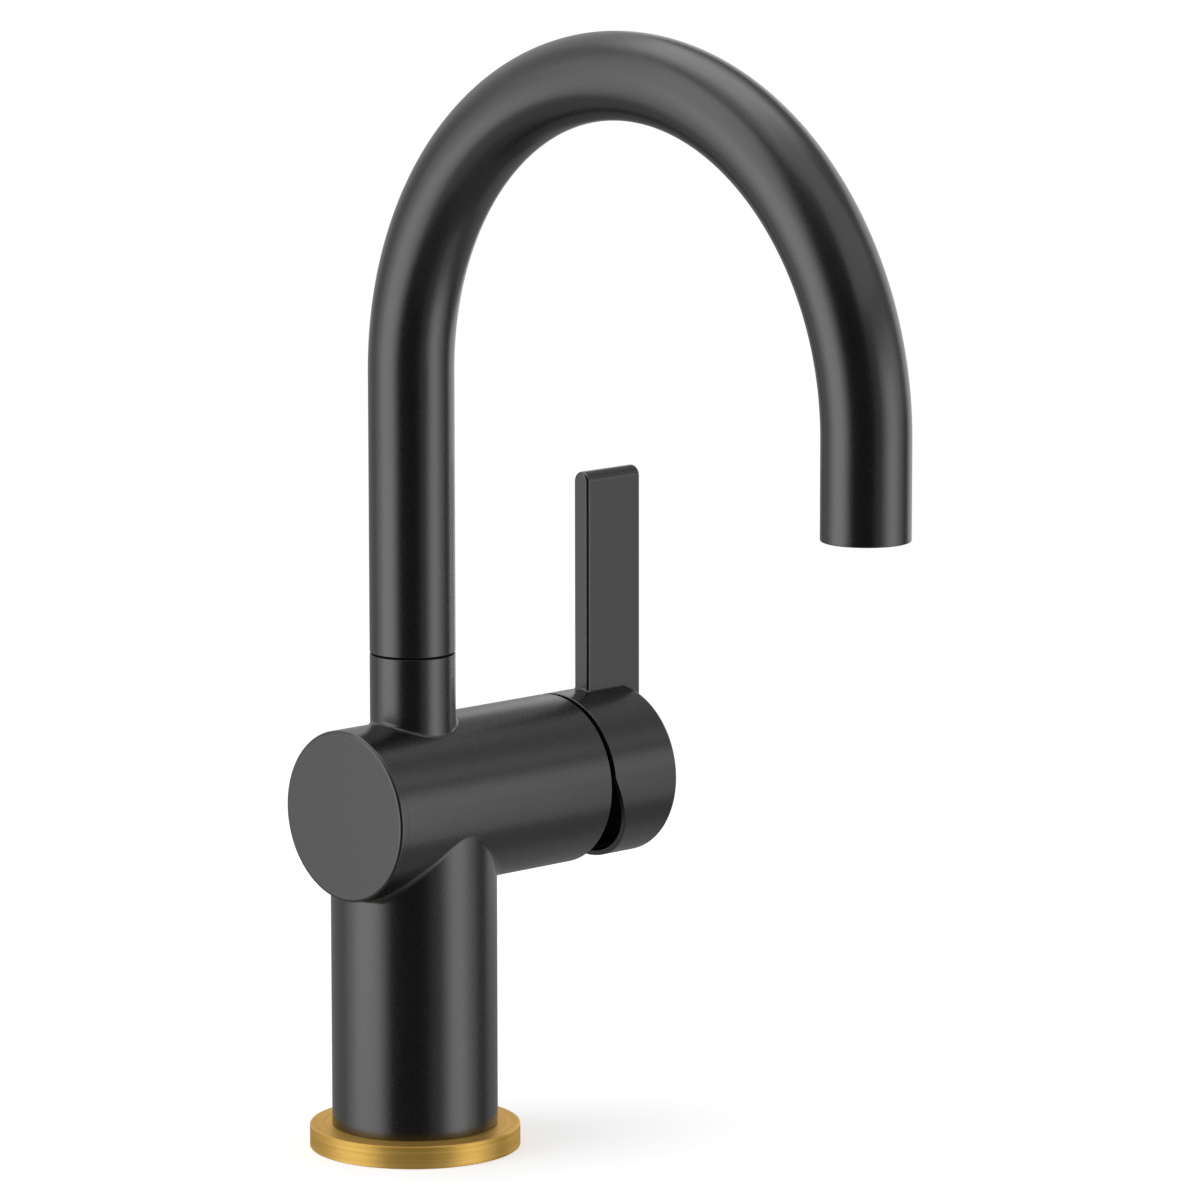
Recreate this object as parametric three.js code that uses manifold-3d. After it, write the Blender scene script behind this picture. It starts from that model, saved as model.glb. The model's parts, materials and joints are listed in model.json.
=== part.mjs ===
// A single-lever gooseneck bar faucet, in millimetres with +Z up.
// The origin is on the deck, on the column's axis. The spout runs out towards -Y, and the hub that
// holds the cartridge lies along X, with the handle on its +X end.
import * as THREE from "three";
import { mergeVertices } from "three/addons/utils/BufferGeometryUtils.js";
import Module from "manifold-3d";

const wasm = await Module();
wasm.setup();

// Clearances
const SEAT_GAP = 0.05; // between two flat faces that rest on each other
const FIT_GAP = 0.3; // round a piece in its bore, or between faces that slide past each other
const SEAL_GAP = 0.15; // round a rubber ring
const CUT_PAST = 1; // how far a cut runs past the face that it opens

// How finely round shapes are faceted
const LEAST_SIDES = 12;
const SIDES_PER_ROOT_MM = 8; // sides of a round section, for each root of its radius
const SMALL_SECTION_SIDES = 8;
const FILLET_STEPS = 3;
const DOME_STEPS = 4;
const LEVER_ARC_STEPS = 5; // for a quarter turn of its round ends
const ARCH_STEPS = 24;

// Escutcheon ring and gasket
const RING_FLARE = 6.6; // how far the ring stands out from the column
const RING_HEIGHT = 6.7;
const RING_EDGE = 0.5;
const LIP_HEIGHT = 3;
const LIP_WALL = 1.7;
const GASKET_INSET = 2.9; // from the ring's rim to the gasket's groove
const GASKET_WIDTH = 7;
const GROOVE_DEPTH = 1.5;

// Column and hub
const COLUMN_R = 24.3;
const COLUMN_WALL = 4.3;
const RECESS_TOP = 60;
const HUB_STEP = 0.8; // how far the hub stands proud of the column
const HUB_AXIS_Z = 101.8;
const HUB_WALL = 7.1;
const THREAD_DEPTH = 1.2; // how much wider the bore is where the nut screws in

// Hub end cap, on the left
const END_CAP_THICKNESS = 3;
const END_CAP_FILLET = 1;
const SPIGOT_LENGTH = 5;
const SPIGOT_WALL = 2;
const POCKET_RIM = 5.8; // the hub's wall round the end cap's pocket
const POCKET_WALL = 3.5; // between the pocket's floor and the spout's socket

// Waterways
const INLET_X = 11;
const INLET_R = 4.6;
const INLET_DEPTH = 10;
const STUD_X = -9;
const STUD_R = 3.4;
const STUD_DEPTH = 14;
const PORT_R = 2.6;
const PORT_LAND = 1.6; // from an inlet port to the fixed disc's rim
const PORT_ANGLE = THREE.MathUtils.degToRad(53.7); // of an inlet port from the top
const OUTLET_R = 3.5;
const OUTLET_LAND = 3;
const GALLERY_R = 4.5;

// Cartridge, as lengths along the hub from the bore's floor outwards
const BORE_FLOOR_X = 21;
const SEAL_THICKNESS = 1.1;
const SEAL_INSET = 3;
const CARTRIDGE_BASE = 5;
const HOUSING_WALL = 2.1;
const HOUSING_FRONT = 1.9;
const DISC_INSET = 2; // from the housing's wall to the fixed disc
const DISC_THICKNESS = 4;
const MOVING_DISC_INSET = 1; // how much smaller the moving disc is
const MOVING_DISC_DROP = 1.3; // how low it sits when the flow is shut
const CHAMBER_DEPTH = 2.5;
const CHAMBER_LAP = 0.9; // how far the shut disc covers the inlet ports' edge
const CHAMBER_RIM = 1.2;
const CARRIER_THICKNESS = 4.4;
const ROTOR_THICKNESS = 6.8;
const ROTOR_NECK = 5.2;
const ROTOR_NECK_R = 10.7;
const PIN_R = 1.5;
const PIN_SETBACK = 3; // from the rotor's shoulder back to the pin's axis
const NUT_LENGTH = 5.8;
const NUT_BORE_R = 12.6;
const NUT_SLOTS = 6;
const NUT_SLOT_WIDTH = 3;
const NUT_SLOT_DEPTH = 2;
const O_RING_R = 0.75; // of the rubber's section

// Dome cover over the nut
const FLANGE_THICKNESS = 1;
const DOME_WALL = 1.2;
const DOME_CLEARANCE = 1.4; // between the dome and the handle's cap
const DOME_MARGIN = THREE.MathUtils.degToRad(2);

// Stem, from the pin's axis
const TILT = THREE.MathUtils.degToRad(20); // the lever's travel from shut to full flow
const STEM_WIDTH = 7;
const STEM_TAIL = 2.5;
const BALL_ARM = 5.8;
const BALL_R = 2;
const BALL_NECK_R = 1.4;
const STEM_TIP_GAP = 1.8; // from the stem's tip to the floor of the handle's cavity

// Handle: a cap on the hub's end, with the lever standing up on it
const CAP_GAP = 1.7;
const CAP_LENGTH = 25.05;
const CAP_WALL = 3.1;
const MOUTH_WALL = 1.5; // of the cap's wider mouth
const MOUTH_DEPTH = 12.65;
const CAP_END_WALL = 4.6;
const CAP_FILLET = 1;
const RELIEF_RISE = 3; // the slanted relief starts this far above the hub's axis
const RELIEF_ANGLE = THREE.MathUtils.degToRad(22.8); // from upright
const SOCKET_FLOOR = 1.2; // the boss's floor under the end wall
const BOSS_WALL = 2;
const ADAPTER_WALL = 0.95;
const SCREW_R = 2.3;
const SCREW_LENGTH = 4.4;
const SCREW_KEY_R = 1.2;
const SCREW_KEY_DEPTH = 2;
const LEVER_WIDTH = 21.6;
const LEVER_THICKNESS = 6.1;
const LEVER_TOP = 90.65; // above the hub's axis
const LEVER_FOOT = 6; // below the hub's axis, on the cap's end
const LEVER_OVERHANG = 5.9; // past the cap's end
const LEVER_FILLET = 1;

// Spout
const TUBE_R = 12.5;
const TUBE_WALL = 1.5;
const ARCH_R = 92;
const RISER_LENGTH = 82.2;
const DROP_LENGTH = 27.65;
const STUB_HEIGHT = 19.7; // of the body's stub above the hub
const STUB_WALL = 2.5;
const SEAM = 0.5; // between the stub and the tube
const SOCKET_DEPTH = 36.1;
const SHANK_LIFT = 1.5; // of the shank's end off the socket's floor
const SHANK_WALL = 2.7;
const SHANK_PLUG = 16; // brazed inside the tube
const UPPER_RING_DROP = 10.6; // below the stub's rim
const LOWER_RING_DROP = 22.6;
const CLIP_DROP = 27.5;
const CLIP_THICKNESS = 1.6;
const CLIP_REACH = 1; // into the stub's wall
const CLIP_DEPTH = 1.6; // into the shank
const CLIP_MOUTH = THREE.MathUtils.degToRad(60);
const WASHER_INSET = 0.5;

// Outlet, as heights above the tube's mouth
const SLEEVE_RECESS = 0.75;
const SLEEVE_WALL = 1;
const SLEEVE_SHOULDER = 1.5;
const SHOULDER_HEIGHT = 5;
const AERATOR_RECESS = 0.5;
const AERATOR_HEIGHT = 10.5;
const AERATOR_WALL = 1.4;
const AERATOR_LIP = 1.4;
const LIP_THICKNESS = 1.2;
const INSERT_HEIGHT = 7;
const INSERT_HOLE_R = 0.7;
const INSERT_PITCH = 2.7; // between the rings of holes
const INSERT_RINGS = 2;
const OUTLET_WASHER_HEIGHT = 2.2;
const OUTLET_WASHER_WIDTH = 2;

// Radii that follow from the column and the tube
const RING_R = COLUMN_R + RING_FLARE;
const RECESS_R = COLUMN_R - COLUMN_WALL;
const HUB_R = COLUMN_R + HUB_STEP;
const BORE_R = HUB_R - HUB_WALL;
const THREAD_R = BORE_R + THREAD_DEPTH;
const NUT_R = THREAD_R - FIT_GAP;
const CARTRIDGE_R = BORE_R - FIT_GAP;
const HOUSING_BORE_R = CARTRIDGE_R - HOUSING_WALL;
const FIXED_DISC_R = HOUSING_BORE_R - DISC_INSET;
const MOVING_DISC_R = FIXED_DISC_R - MOVING_DISC_INSET;
const ROTOR_R = HOUSING_BORE_R - FIT_GAP;
const PIN_HOLE_R = PIN_R + FIT_GAP;
const POCKET_R = HUB_R - POCKET_RIM;
const CAVITY_R = HUB_R - CAP_WALL;
const MOUTH_R = HUB_R - MOUTH_WALL;
const DOME_R = CAVITY_R - DOME_CLEARANCE;
const SOCKET_R = TUBE_R - STUB_WALL;
const SHANK_R = SOCKET_R - FIT_GAP;
const TUBE_BORE_R = TUBE_R - TUBE_WALL;
const SLEEVE_R = TUBE_BORE_R - FIT_GAP;
const SLEEVE_BORE_R = SLEEVE_R - SLEEVE_WALL;
const AERATOR_R = SLEEVE_BORE_R - FIT_GAP;
const AERATOR_BORE_R = AERATOR_R - AERATOR_WALL;

// Places along the hub that follow from the stack in its bore
const SEAL_X = BORE_FLOOR_X + SEAT_GAP;
const CARTRIDGE_BASE_X = SEAL_X + SEAL_THICKNESS + SEAT_GAP;
const HOUSING_X = CARTRIDGE_BASE_X + CARTRIDGE_BASE + SEAT_GAP;
const FIXED_DISC_X = HOUSING_X + SEAL_GAP;
const MOVING_DISC_X = FIXED_DISC_X + DISC_THICKNESS + SEAT_GAP;
const CARRIER_X = MOVING_DISC_X + DISC_THICKNESS + SEAT_GAP;
const ROTOR_X = CARRIER_X + CARRIER_THICKNESS + FIT_GAP;
const HOUSING_FRONT_X = ROTOR_X + ROTOR_THICKNESS + FIT_GAP;
const HOUSING_END_X = HOUSING_FRONT_X + HOUSING_FRONT;
const NUT_X = HOUSING_END_X + SEAT_GAP;
const FLANGE_X = NUT_X + NUT_LENGTH + SEAT_GAP;
const HUB_END_X = FLANGE_X + FLANGE_THICKNESS + SEAT_GAP;
const HUB_START_X = -COLUMN_R;
const POCKET_FLOOR_X = -(SOCKET_R + POCKET_WALL);
const PIVOT_X = ROTOR_X + ROTOR_THICKNESS - PIN_SETBACK;

// Places in the handle, along the hub from the pin's axis
const CAP_START = HUB_END_X + CAP_GAP - PIVOT_X;
const CAP_END = CAP_START + CAP_LENGTH;
const CAVITY_END = CAP_END - CAP_END_WALL;
const MOUTH_END = CAP_START + MOUTH_DEPTH;
const BOSS_START = DOME_R + FIT_GAP;
const SOCKET_END = CAVITY_END - SOCKET_FLOOR;
const STEM_END = CAVITY_END - STEM_TIP_GAP;
const RELIEF_FOOT = CAP_START + (RELIEF_RISE + HUB_R) * Math.tan(RELIEF_ANGLE);
const SCREW_AT = (RELIEF_FOOT + CAVITY_END) / 2;
const SCREW_HOLE_R = SCREW_R + FIT_GAP;
const LEVER_END = CAP_END + LEVER_OVERHANG;
const ADAPTER_BORE = STEM_WIDTH + 2 * SEAL_GAP;
const ADAPTER_WIDTH = ADAPTER_BORE + 2 * ADAPTER_WALL;
const SOCKET_WIDTH = ADAPTER_WIDTH + 2 * SEAL_GAP;
const BOSS_R = SOCKET_WIDTH / Math.SQRT2 + BOSS_WALL;

// Heights
const BODY_FOOT_Z = RING_HEIGHT + SEAT_GAP;
const STUB_TOP_Z = HUB_AXIS_Z + HUB_R + STUB_HEIGHT;
const SOCKET_FLOOR_Z = STUB_TOP_Z - SOCKET_DEPTH;
const TUBE_FOOT_Z = STUB_TOP_Z + SEAM;
const ARCH_Z = TUBE_FOOT_Z + RISER_LENGTH;
const MOUTH_Z = ARCH_Z - DROP_LENGTH;
const CLIP_Z = STUB_TOP_Z - CLIP_DROP;

// The cartridge's ports in the hub's own frame, where x points down, y across and z along the hub.
const PORT_CIRCLE_R = FIXED_DISC_R - PORT_R - PORT_LAND;
const INLET_DOWN = -PORT_CIRCLE_R * Math.cos(PORT_ANGLE);
const INLET_ACROSS = PORT_CIRCLE_R * Math.sin(PORT_ANGLE);
const OUTLET_DOWN = FIXED_DISC_R - OUTLET_R - OUTLET_LAND;
const SIDES = [-1, 1];

// Sides of a round section: more on a larger one, and always a multiple of four.
function sidesOf(radius) {
  return Math.max(LEAST_SIDES, 4 * Math.round((SIDES_PER_ROOT_MM / 4) * Math.sqrt(radius)));
}

function solid(geometry) {
  const bare = geometry.clone();
  bare.deleteAttribute("normal");
  bare.deleteAttribute("uv");
  const merged = mergeVertices(bare, 1e-4);
  return new wasm.Manifold(
    new wasm.Mesh({
      numProp: 3,
      vertProperties: new Float32Array(merged.attributes.position.array),
      triVerts: new Uint32Array(merged.index.array),
    }),
  );
}

function geometryOf(body) {
  const mesh = body.getMesh();
  const geometry = new THREE.BufferGeometry();
  geometry.setAttribute("position", new THREE.BufferAttribute(mesh.vertProperties, 3));
  geometry.setIndex(new THREE.BufferAttribute(mesh.triVerts, 1));
  geometry.computeVertexNormals();
  return geometry;
}

function join(...shapes) {
  return shapes.map(solid).reduce((whole, part) => whole.add(part));
}

function cut(body, ...tools) {
  return tools.map(solid).reduce((left, tool) => left.subtract(tool), body);
}

// A solid turned about Z from [radius, height] corners. They start and end on the axis, or go round
// a ring's section, in either direction.
function turned(profile) {
  const points = profile.map(([radius, height]) => new THREE.Vector2(radius, height));
  if (THREE.ShapeUtils.area(points) < 0) points.reverse();
  if (points[0].x > 0) points.push(points[0].clone());
  const widest = Math.max(...points.map((point) => point.x));
  return new THREE.LatheGeometry(points, sidesOf(widest)).rotateX(Math.PI / 2);
}

function cylinder(radius, from, to) {
  return turned([[0, from], [radius, from], [radius, to], [0, to]]);
}

function tubeOf(inner, outer, from, to) {
  return turned([[inner, from], [outer, from], [outer, to], [inner, to]]);
}

function box(x, y, from, to) {
  return new THREE.BoxGeometry(x, y, to - from).translate(0, 0, (from + to) / 2);
}

// Points on an arc about [radius, height], by angle from the radial direction.
function arc(centre, size, start, end, steps) {
  return Array.from({ length: steps + 1 }, (_, i) => {
    const angle = start + ((end - start) * i) / steps;
    return [centre[0] + size * Math.cos(angle), centre[1] + size * Math.sin(angle)];
  });
}

function oRing(radius) {
  return new THREE.TorusGeometry(radius, O_RING_R, SMALL_SECTION_SIDES, sidesOf(radius));
}

// Turns a shape from the hub's own frame into the faucet's.
function alongHub(geometry) {
  return geometry.rotateY(Math.PI / 2).translate(0, 0, HUB_AXIS_Z);
}

function alongY(geometry) {
  return geometry.rotateX(-Math.PI / 2);
}

// The three holes of the cartridge's ports, widened by the given amount.
function portHoles(from, to, widen = 0) {
  const inlets = SIDES.map((side) =>
    cylinder(PORT_R + widen, from, to).translate(INLET_DOWN, side * INLET_ACROSS, 0));
  return [...inlets, cylinder(OUTLET_R + widen, from, to).translate(OUTLET_DOWN, 0, 0)];
}

function baseRing() {
  const lipR = RECESS_R - FIT_GAP;
  const grooveR = RING_R - GASKET_INSET;
  return turned([
    [lipR - LIP_WALL, 0],
    [grooveR - GASKET_WIDTH, 0],
    [grooveR - GASKET_WIDTH, GROOVE_DEPTH],
    [grooveR, GROOVE_DEPTH],
    [grooveR, 0],
    [RING_R, 0],
    [RING_R, RING_HEIGHT - RING_EDGE],
    [RING_R - RING_EDGE, RING_HEIGHT],
    [lipR, RING_HEIGHT],
    [lipR, RING_HEIGHT + LIP_HEIGHT],
    [lipR - LIP_WALL, RING_HEIGHT + LIP_HEIGHT],
  ]);
}

function baseGasket() {
  const outer = RING_R - GASKET_INSET - FIT_GAP;
  return tubeOf(outer - GASKET_WIDTH + 2 * FIT_GAP, outer, 0, GROOVE_DEPTH - FIT_GAP);
}

// One inlet: wide at the recess for a hose's end, then up and along to the cartridge's seat.
function inletWay(side) {
  const across = side * INLET_ACROSS;
  const bend = HUB_AXIS_Z - INLET_DOWN;
  return [
    cylinder(INLET_R, RECESS_TOP - CUT_PAST, RECESS_TOP + INLET_DEPTH).translate(INLET_X, across, 0),
    cylinder(PORT_R, RECESS_TOP, bend).translate(INLET_X, across, 0),
    alongHub(cylinder(PORT_R, INLET_X, BORE_FLOOR_X + CUT_PAST).translate(INLET_DOWN, across, 0)),
  ];
}

function faucetBody() {
  const whole = join(
    cylinder(COLUMN_R, BODY_FOOT_Z, HUB_AXIS_Z),
    alongHub(cylinder(HUB_R, HUB_START_X, HUB_END_X)),
    cylinder(TUBE_R, HUB_AXIS_Z, STUB_TOP_Z),
  );
  return cut(
    whole,
    cylinder(RECESS_R, BODY_FOOT_Z - CUT_PAST, RECESS_TOP),
    cylinder(STUD_R, RECESS_TOP - CUT_PAST, RECESS_TOP + STUD_DEPTH).translate(STUD_X, 0, 0),
    ...SIDES.flatMap(inletWay),
    alongHub(cylinder(BORE_R, BORE_FLOOR_X, HUB_END_X + CUT_PAST)),
    alongHub(cylinder(THREAD_R, HOUSING_FRONT_X, HUB_END_X + CUT_PAST)),
    alongHub(cylinder(POCKET_R, HUB_START_X - CUT_PAST, POCKET_FLOOR_X)),
    alongHub(cylinder(OUTLET_R, 0, BORE_FLOOR_X + CUT_PAST).translate(OUTLET_DOWN, 0, 0)),
    cylinder(GALLERY_R, HUB_AXIS_Z - OUTLET_DOWN - OUTLET_R, SOCKET_FLOOR_Z + CUT_PAST),
    cylinder(SOCKET_R, SOCKET_FLOOR_Z, STUB_TOP_Z + CUT_PAST),
    cylinder(SOCKET_R + CLIP_REACH, CLIP_Z - FIT_GAP, CLIP_Z + CLIP_THICKNESS + FIT_GAP),
  );
}

// Faces left, and its height is the place along the hub.
function hubEndCap() {
  const back = HUB_START_X - SEAT_GAP;
  const face = HUB_START_X - END_CAP_THICKNESS;
  const spigotR = POCKET_R - FIT_GAP;
  const corner = [HUB_R - END_CAP_FILLET, face + END_CAP_FILLET];
  return turned([
    [0, face],
    ...arc(corner, END_CAP_FILLET, -Math.PI / 2, 0, FILLET_STEPS),
    [HUB_R, back],
    [spigotR, back],
    [spigotR, back + SPIGOT_LENGTH],
    [spigotR - SPIGOT_WALL, back + SPIGOT_LENGTH],
    [spigotR - SPIGOT_WALL, back],
    [0, back],
  ]);
}

function portSeal() {
  const plate = solid(cylinder(BORE_R - SEAL_INSET, 0, SEAL_THICKNESS));
  return cut(plate, ...portHoles(-CUT_PAST, SEAL_THICKNESS + CUT_PAST, FIT_GAP));
}

const BASE_RING_R = BORE_R - SEAL_GAP - O_RING_R;

function cartridgeBase() {
  const floorR = BASE_RING_R - O_RING_R - SEAL_GAP;
  const grooveStart = CARTRIDGE_BASE / 2 - O_RING_R - SEAL_GAP;
  const grooveEnd = CARTRIDGE_BASE / 2 + O_RING_R + SEAL_GAP;
  const blank = solid(
    turned([
      [0, 0],
      [CARTRIDGE_R, 0],
      [CARTRIDGE_R, grooveStart],
      [floorR, grooveStart],
      [floorR, grooveEnd],
      [CARTRIDGE_R, grooveEnd],
      [CARTRIDGE_R, CARTRIDGE_BASE],
      [0, CARTRIDGE_BASE],
    ]),
  );
  return cut(blank, ...portHoles(-CUT_PAST, CARTRIDGE_BASE + CUT_PAST));
}

function fixedDisc() {
  const blank = solid(cylinder(FIXED_DISC_R, 0, DISC_THICKNESS));
  return cut(blank, ...portHoles(-CUT_PAST, DISC_THICKNESS + CUT_PAST));
}

// The disc's mixing chamber always covers the outlet port, and stops short of the inlets when shut.
function movingDisc() {
  const top = INLET_DOWN + PORT_R + CHAMBER_LAP;
  const bottom = OUTLET_DOWN + OUTLET_R;
  const width = 2 * (INLET_ACROSS + PORT_R / 2);
  const reach = box(bottom - top, width, -CUT_PAST, CHAMBER_DEPTH).translate((top + bottom) / 2, 0, 0);
  const rim = cylinder(MOVING_DISC_R - CHAMBER_RIM, -CUT_PAST, CHAMBER_DEPTH);
  const chamber = solid(reach).intersect(solid(rim.translate(MOVING_DISC_DROP, 0, 0)));
  const disc = cylinder(MOVING_DISC_R, 0, DISC_THICKNESS).translate(MOVING_DISC_DROP, 0, 0);
  return solid(disc).subtract(chamber);
}

function discCarrier() {
  const ballAt = PIVOT_X - BALL_ARM - CARRIER_X;
  const disc = cylinder(MOVING_DISC_R, 0, CARRIER_THICKNESS).translate(MOVING_DISC_DROP, 0, 0);
  const socket = cylinder(BALL_R + FIT_GAP, ballAt - BALL_R - FIT_GAP, CARRIER_THICKNESS + CUT_PAST);
  return cut(solid(disc), socket);
}

function cartridgeHousing() {
  const length = HOUSING_END_X - HOUSING_X;
  const mouthR = ROTOR_NECK_R + FIT_GAP;
  return turned([
    [HOUSING_BORE_R, 0],
    [CARTRIDGE_R, 0],
    [CARTRIDGE_R, length],
    [mouthR, length],
    [mouthR, length - HOUSING_FRONT],
    [HOUSING_BORE_R, length - HOUSING_FRONT],
  ]);
}

function rotor() {
  const end = ROTOR_THICKNESS + ROTOR_NECK;
  const neckReach = ROTOR_NECK + PIN_SETBACK;
  const swing = neckReach * Math.tan(TILT) + STEM_WIDTH / 2 / Math.cos(TILT);
  const blank = turned([
    [0, 0],
    [ROTOR_R, 0],
    [ROTOR_R, ROTOR_THICKNESS],
    [ROTOR_NECK_R, ROTOR_THICKNESS],
    [ROTOR_NECK_R, end],
    [0, end],
  ]);
  const slot = box(2 * (swing + 2 * FIT_GAP), STEM_WIDTH + 2 * FIT_GAP, -CUT_PAST, end + CUT_PAST);
  const pinHole = alongY(cylinder(PIN_HOLE_R, -HUB_R, HUB_R));
  return cut(solid(blank), slot, pinHole.translate(0, 0, ROTOR_THICKNESS - PIN_SETBACK));
}

function stemPin() {
  const reach = ROTOR_R - FIT_GAP - PIN_R;
  return alongY(cylinder(PIN_R, -reach, reach));
}

function cartridgeNut() {
  const slots = Array.from({ length: NUT_SLOTS }, (_, i) =>
    new THREE.BoxGeometry(2 * NUT_SLOT_DEPTH, NUT_SLOT_WIDTH, 2 * NUT_SLOT_DEPTH)
      .translate(NUT_BORE_R, 0, NUT_LENGTH)
      .rotateZ((2 * Math.PI * i) / NUT_SLOTS));
  return cut(solid(tubeOf(NUT_BORE_R, NUT_R, 0, NUT_LENGTH)), ...slots);
}

// A flange against the nut and a zone of a sphere about the pin, open as far as the stem swings.
function domeCover() {
  const back = FLANGE_X - PIVOT_X;
  const front = back + FLANGE_THICKNESS;
  const inner = DOME_R - DOME_WALL;
  const mouth = Math.PI / 2 - (TILT + Math.asin(STEM_WIDTH / Math.SQRT2 / inner) + DOME_MARGIN);
  return turned([
    [NUT_R, back],
    [NUT_R, front],
    ...arc([0, 0], DOME_R, Math.asin(front / DOME_R), mouth, DOME_STEPS),
    ...arc([0, 0], inner, mouth, Math.asin(back / inner), DOME_STEPS),
  ]);
}

function stem() {
  const hole = alongY(cylinder(PIN_HOLE_R, -STEM_WIDTH, STEM_WIDTH));
  const ball = new THREE.SphereGeometry(BALL_R, 2 * SMALL_SECTION_SIDES, SMALL_SECTION_SIDES);
  const whole = join(
    box(STEM_WIDTH, STEM_WIDTH, -STEM_TAIL, STEM_END),
    cylinder(BALL_NECK_R, -BALL_ARM, -STEM_TAIL + CUT_PAST / 2),
    ball.rotateX(Math.PI / 2).translate(0, 0, -BALL_ARM),
  );
  return cut(whole, hole);
}

// The lever's outline is a bar with round ends, drawn across the hub and extruded along it.
function leverBar() {
  const half = LEVER_THICKNESS / 2;
  const outline = new THREE.Shape();
  outline.absarc(LEVER_FOOT - half, 0, half, -Math.PI / 2, Math.PI / 2);
  outline.absarc(half - LEVER_TOP, 0, half, Math.PI / 2, (3 * Math.PI) / 2);
  const bar = new THREE.ExtrudeGeometry(outline, {
    depth: LEVER_WIDTH - 2 * LEVER_FILLET,
    curveSegments: LEVER_ARC_STEPS,
    bevelThickness: LEVER_FILLET,
    bevelSize: LEVER_FILLET,
    bevelOffset: -LEVER_FILLET,
    bevelSegments: FILLET_STEPS,
  });
  return bar.translate(0, 0, LEVER_END - LEVER_WIDTH + LEVER_FILLET);
}

// What the slanted relief takes off the cap's lower front, so that it clears the hub as it tilts.
function capRelief() {
  const low = 2 * HUB_R;
  const slant = (low + RELIEF_RISE) * Math.tan(RELIEF_ANGLE);
  const outline = new THREE.Shape([
    new THREE.Vector2(-RELIEF_RISE, CAP_START),
    new THREE.Vector2(-RELIEF_RISE, CAP_START - CUT_PAST),
    new THREE.Vector2(low, CAP_START - CUT_PAST),
    new THREE.Vector2(low, CAP_START + slant),
  ]);
  const prism = new THREE.ExtrudeGeometry(outline, { depth: 4 * HUB_R, bevelEnabled: false });
  return prism.rotateX(Math.PI / 2).translate(0, 2 * HUB_R, 0);
}

function screwHole() {
  return cylinder(SCREW_HOLE_R, 0, HUB_R + CUT_PAST).rotateY(Math.PI / 2).translate(0, 0, SCREW_AT);
}

function handle() {
  const corner = [HUB_R - CAP_FILLET, CAP_END - CAP_FILLET];
  const cap = turned([
    [0, CAVITY_END],
    [CAVITY_R, CAVITY_END],
    [CAVITY_R, MOUTH_END],
    [MOUTH_R, MOUTH_END],
    [MOUTH_R, CAP_START],
    [HUB_R, CAP_START],
    ...arc(corner, CAP_FILLET, 0, Math.PI / 2, FILLET_STEPS),
    [0, CAP_END],
  ]);
  const lever = cut(
    solid(leverBar()),
    cylinder(CAVITY_R, CAP_START, CAVITY_END),
    cylinder(MOUTH_R, CAP_START, MOUTH_END),
  );
  const boss = solid(cylinder(BOSS_R, BOSS_START, CAVITY_END + CAP_END_WALL / 2));
  return cut(
    solid(cap).add(lever).add(boss),
    box(SOCKET_WIDTH, SOCKET_WIDTH, BOSS_START - CUT_PAST, SOCKET_END),
    screwHole(),
    capRelief(),
  );
}

function handleAdapter() {
  const from = BOSS_START + FIT_GAP;
  const to = SOCKET_END - FIT_GAP;
  const bore = box(ADAPTER_BORE, ADAPTER_BORE, from - CUT_PAST, to + CUT_PAST);
  return cut(solid(box(ADAPTER_WIDTH, ADAPTER_WIDTH, from, to)), bore, screwHole());
}

// Stands on the stem, and its key hole faces the cap's underside.
function setScrew() {
  const key = new THREE.CylinderGeometry(SCREW_KEY_R, SCREW_KEY_R, 2 * SCREW_KEY_DEPTH, 6);
  return cut(
    solid(cylinder(SCREW_R, 0, SCREW_LENGTH)),
    key.rotateX(Math.PI / 2).translate(0, 0, SCREW_LENGTH),
  );
}

// Up the riser, over a half circle and down the drop. Each straight is one step, and the arch has
// ARCH_STEPS even ones, so its top is a station.
class GooseneckCurve extends THREE.Curve {
  getUtoTmapping(u) {
    return u;
  }

  arcAngle(t) {
    const turn = (t * (ARCH_STEPS + 2) - 1) / ARCH_STEPS;
    return Math.PI * THREE.MathUtils.clamp(turn, 0, 1);
  }

  getPoint(t) {
    const angle = this.arcAngle(t);
    const steps = t * (ARCH_STEPS + 2);
    const riser = RISER_LENGTH * Math.min(steps - 1, 0);
    const drop = DROP_LENGTH * Math.max(steps - 1 - ARCH_STEPS, 0);
    const y = -ARCH_R * (1 - Math.cos(angle));
    return new THREE.Vector3(0, y, ARCH_R * Math.sin(angle) + riser - drop);
  }

  getTangent(t) {
    const angle = this.arcAngle(t);
    return new THREE.Vector3(0, -Math.sin(angle), Math.cos(angle));
  }
}

// Runs from the arch's height, so its path is placed by that.
function spoutTube() {
  const section = new THREE.Shape().absarc(0, 0, TUBE_R, 0, 2 * Math.PI);
  section.holes.push(new THREE.Path().absarc(0, 0, TUBE_BORE_R, 0, 2 * Math.PI));
  return new THREE.ExtrudeGeometry(section, {
    steps: ARCH_STEPS + 2,
    curveSegments: sidesOf(TUBE_R) / 2,
    extrudePath: new GooseneckCurve(),
  });
}

const SHANK_RING_R = SOCKET_R - SEAL_GAP - O_RING_R;

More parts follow.
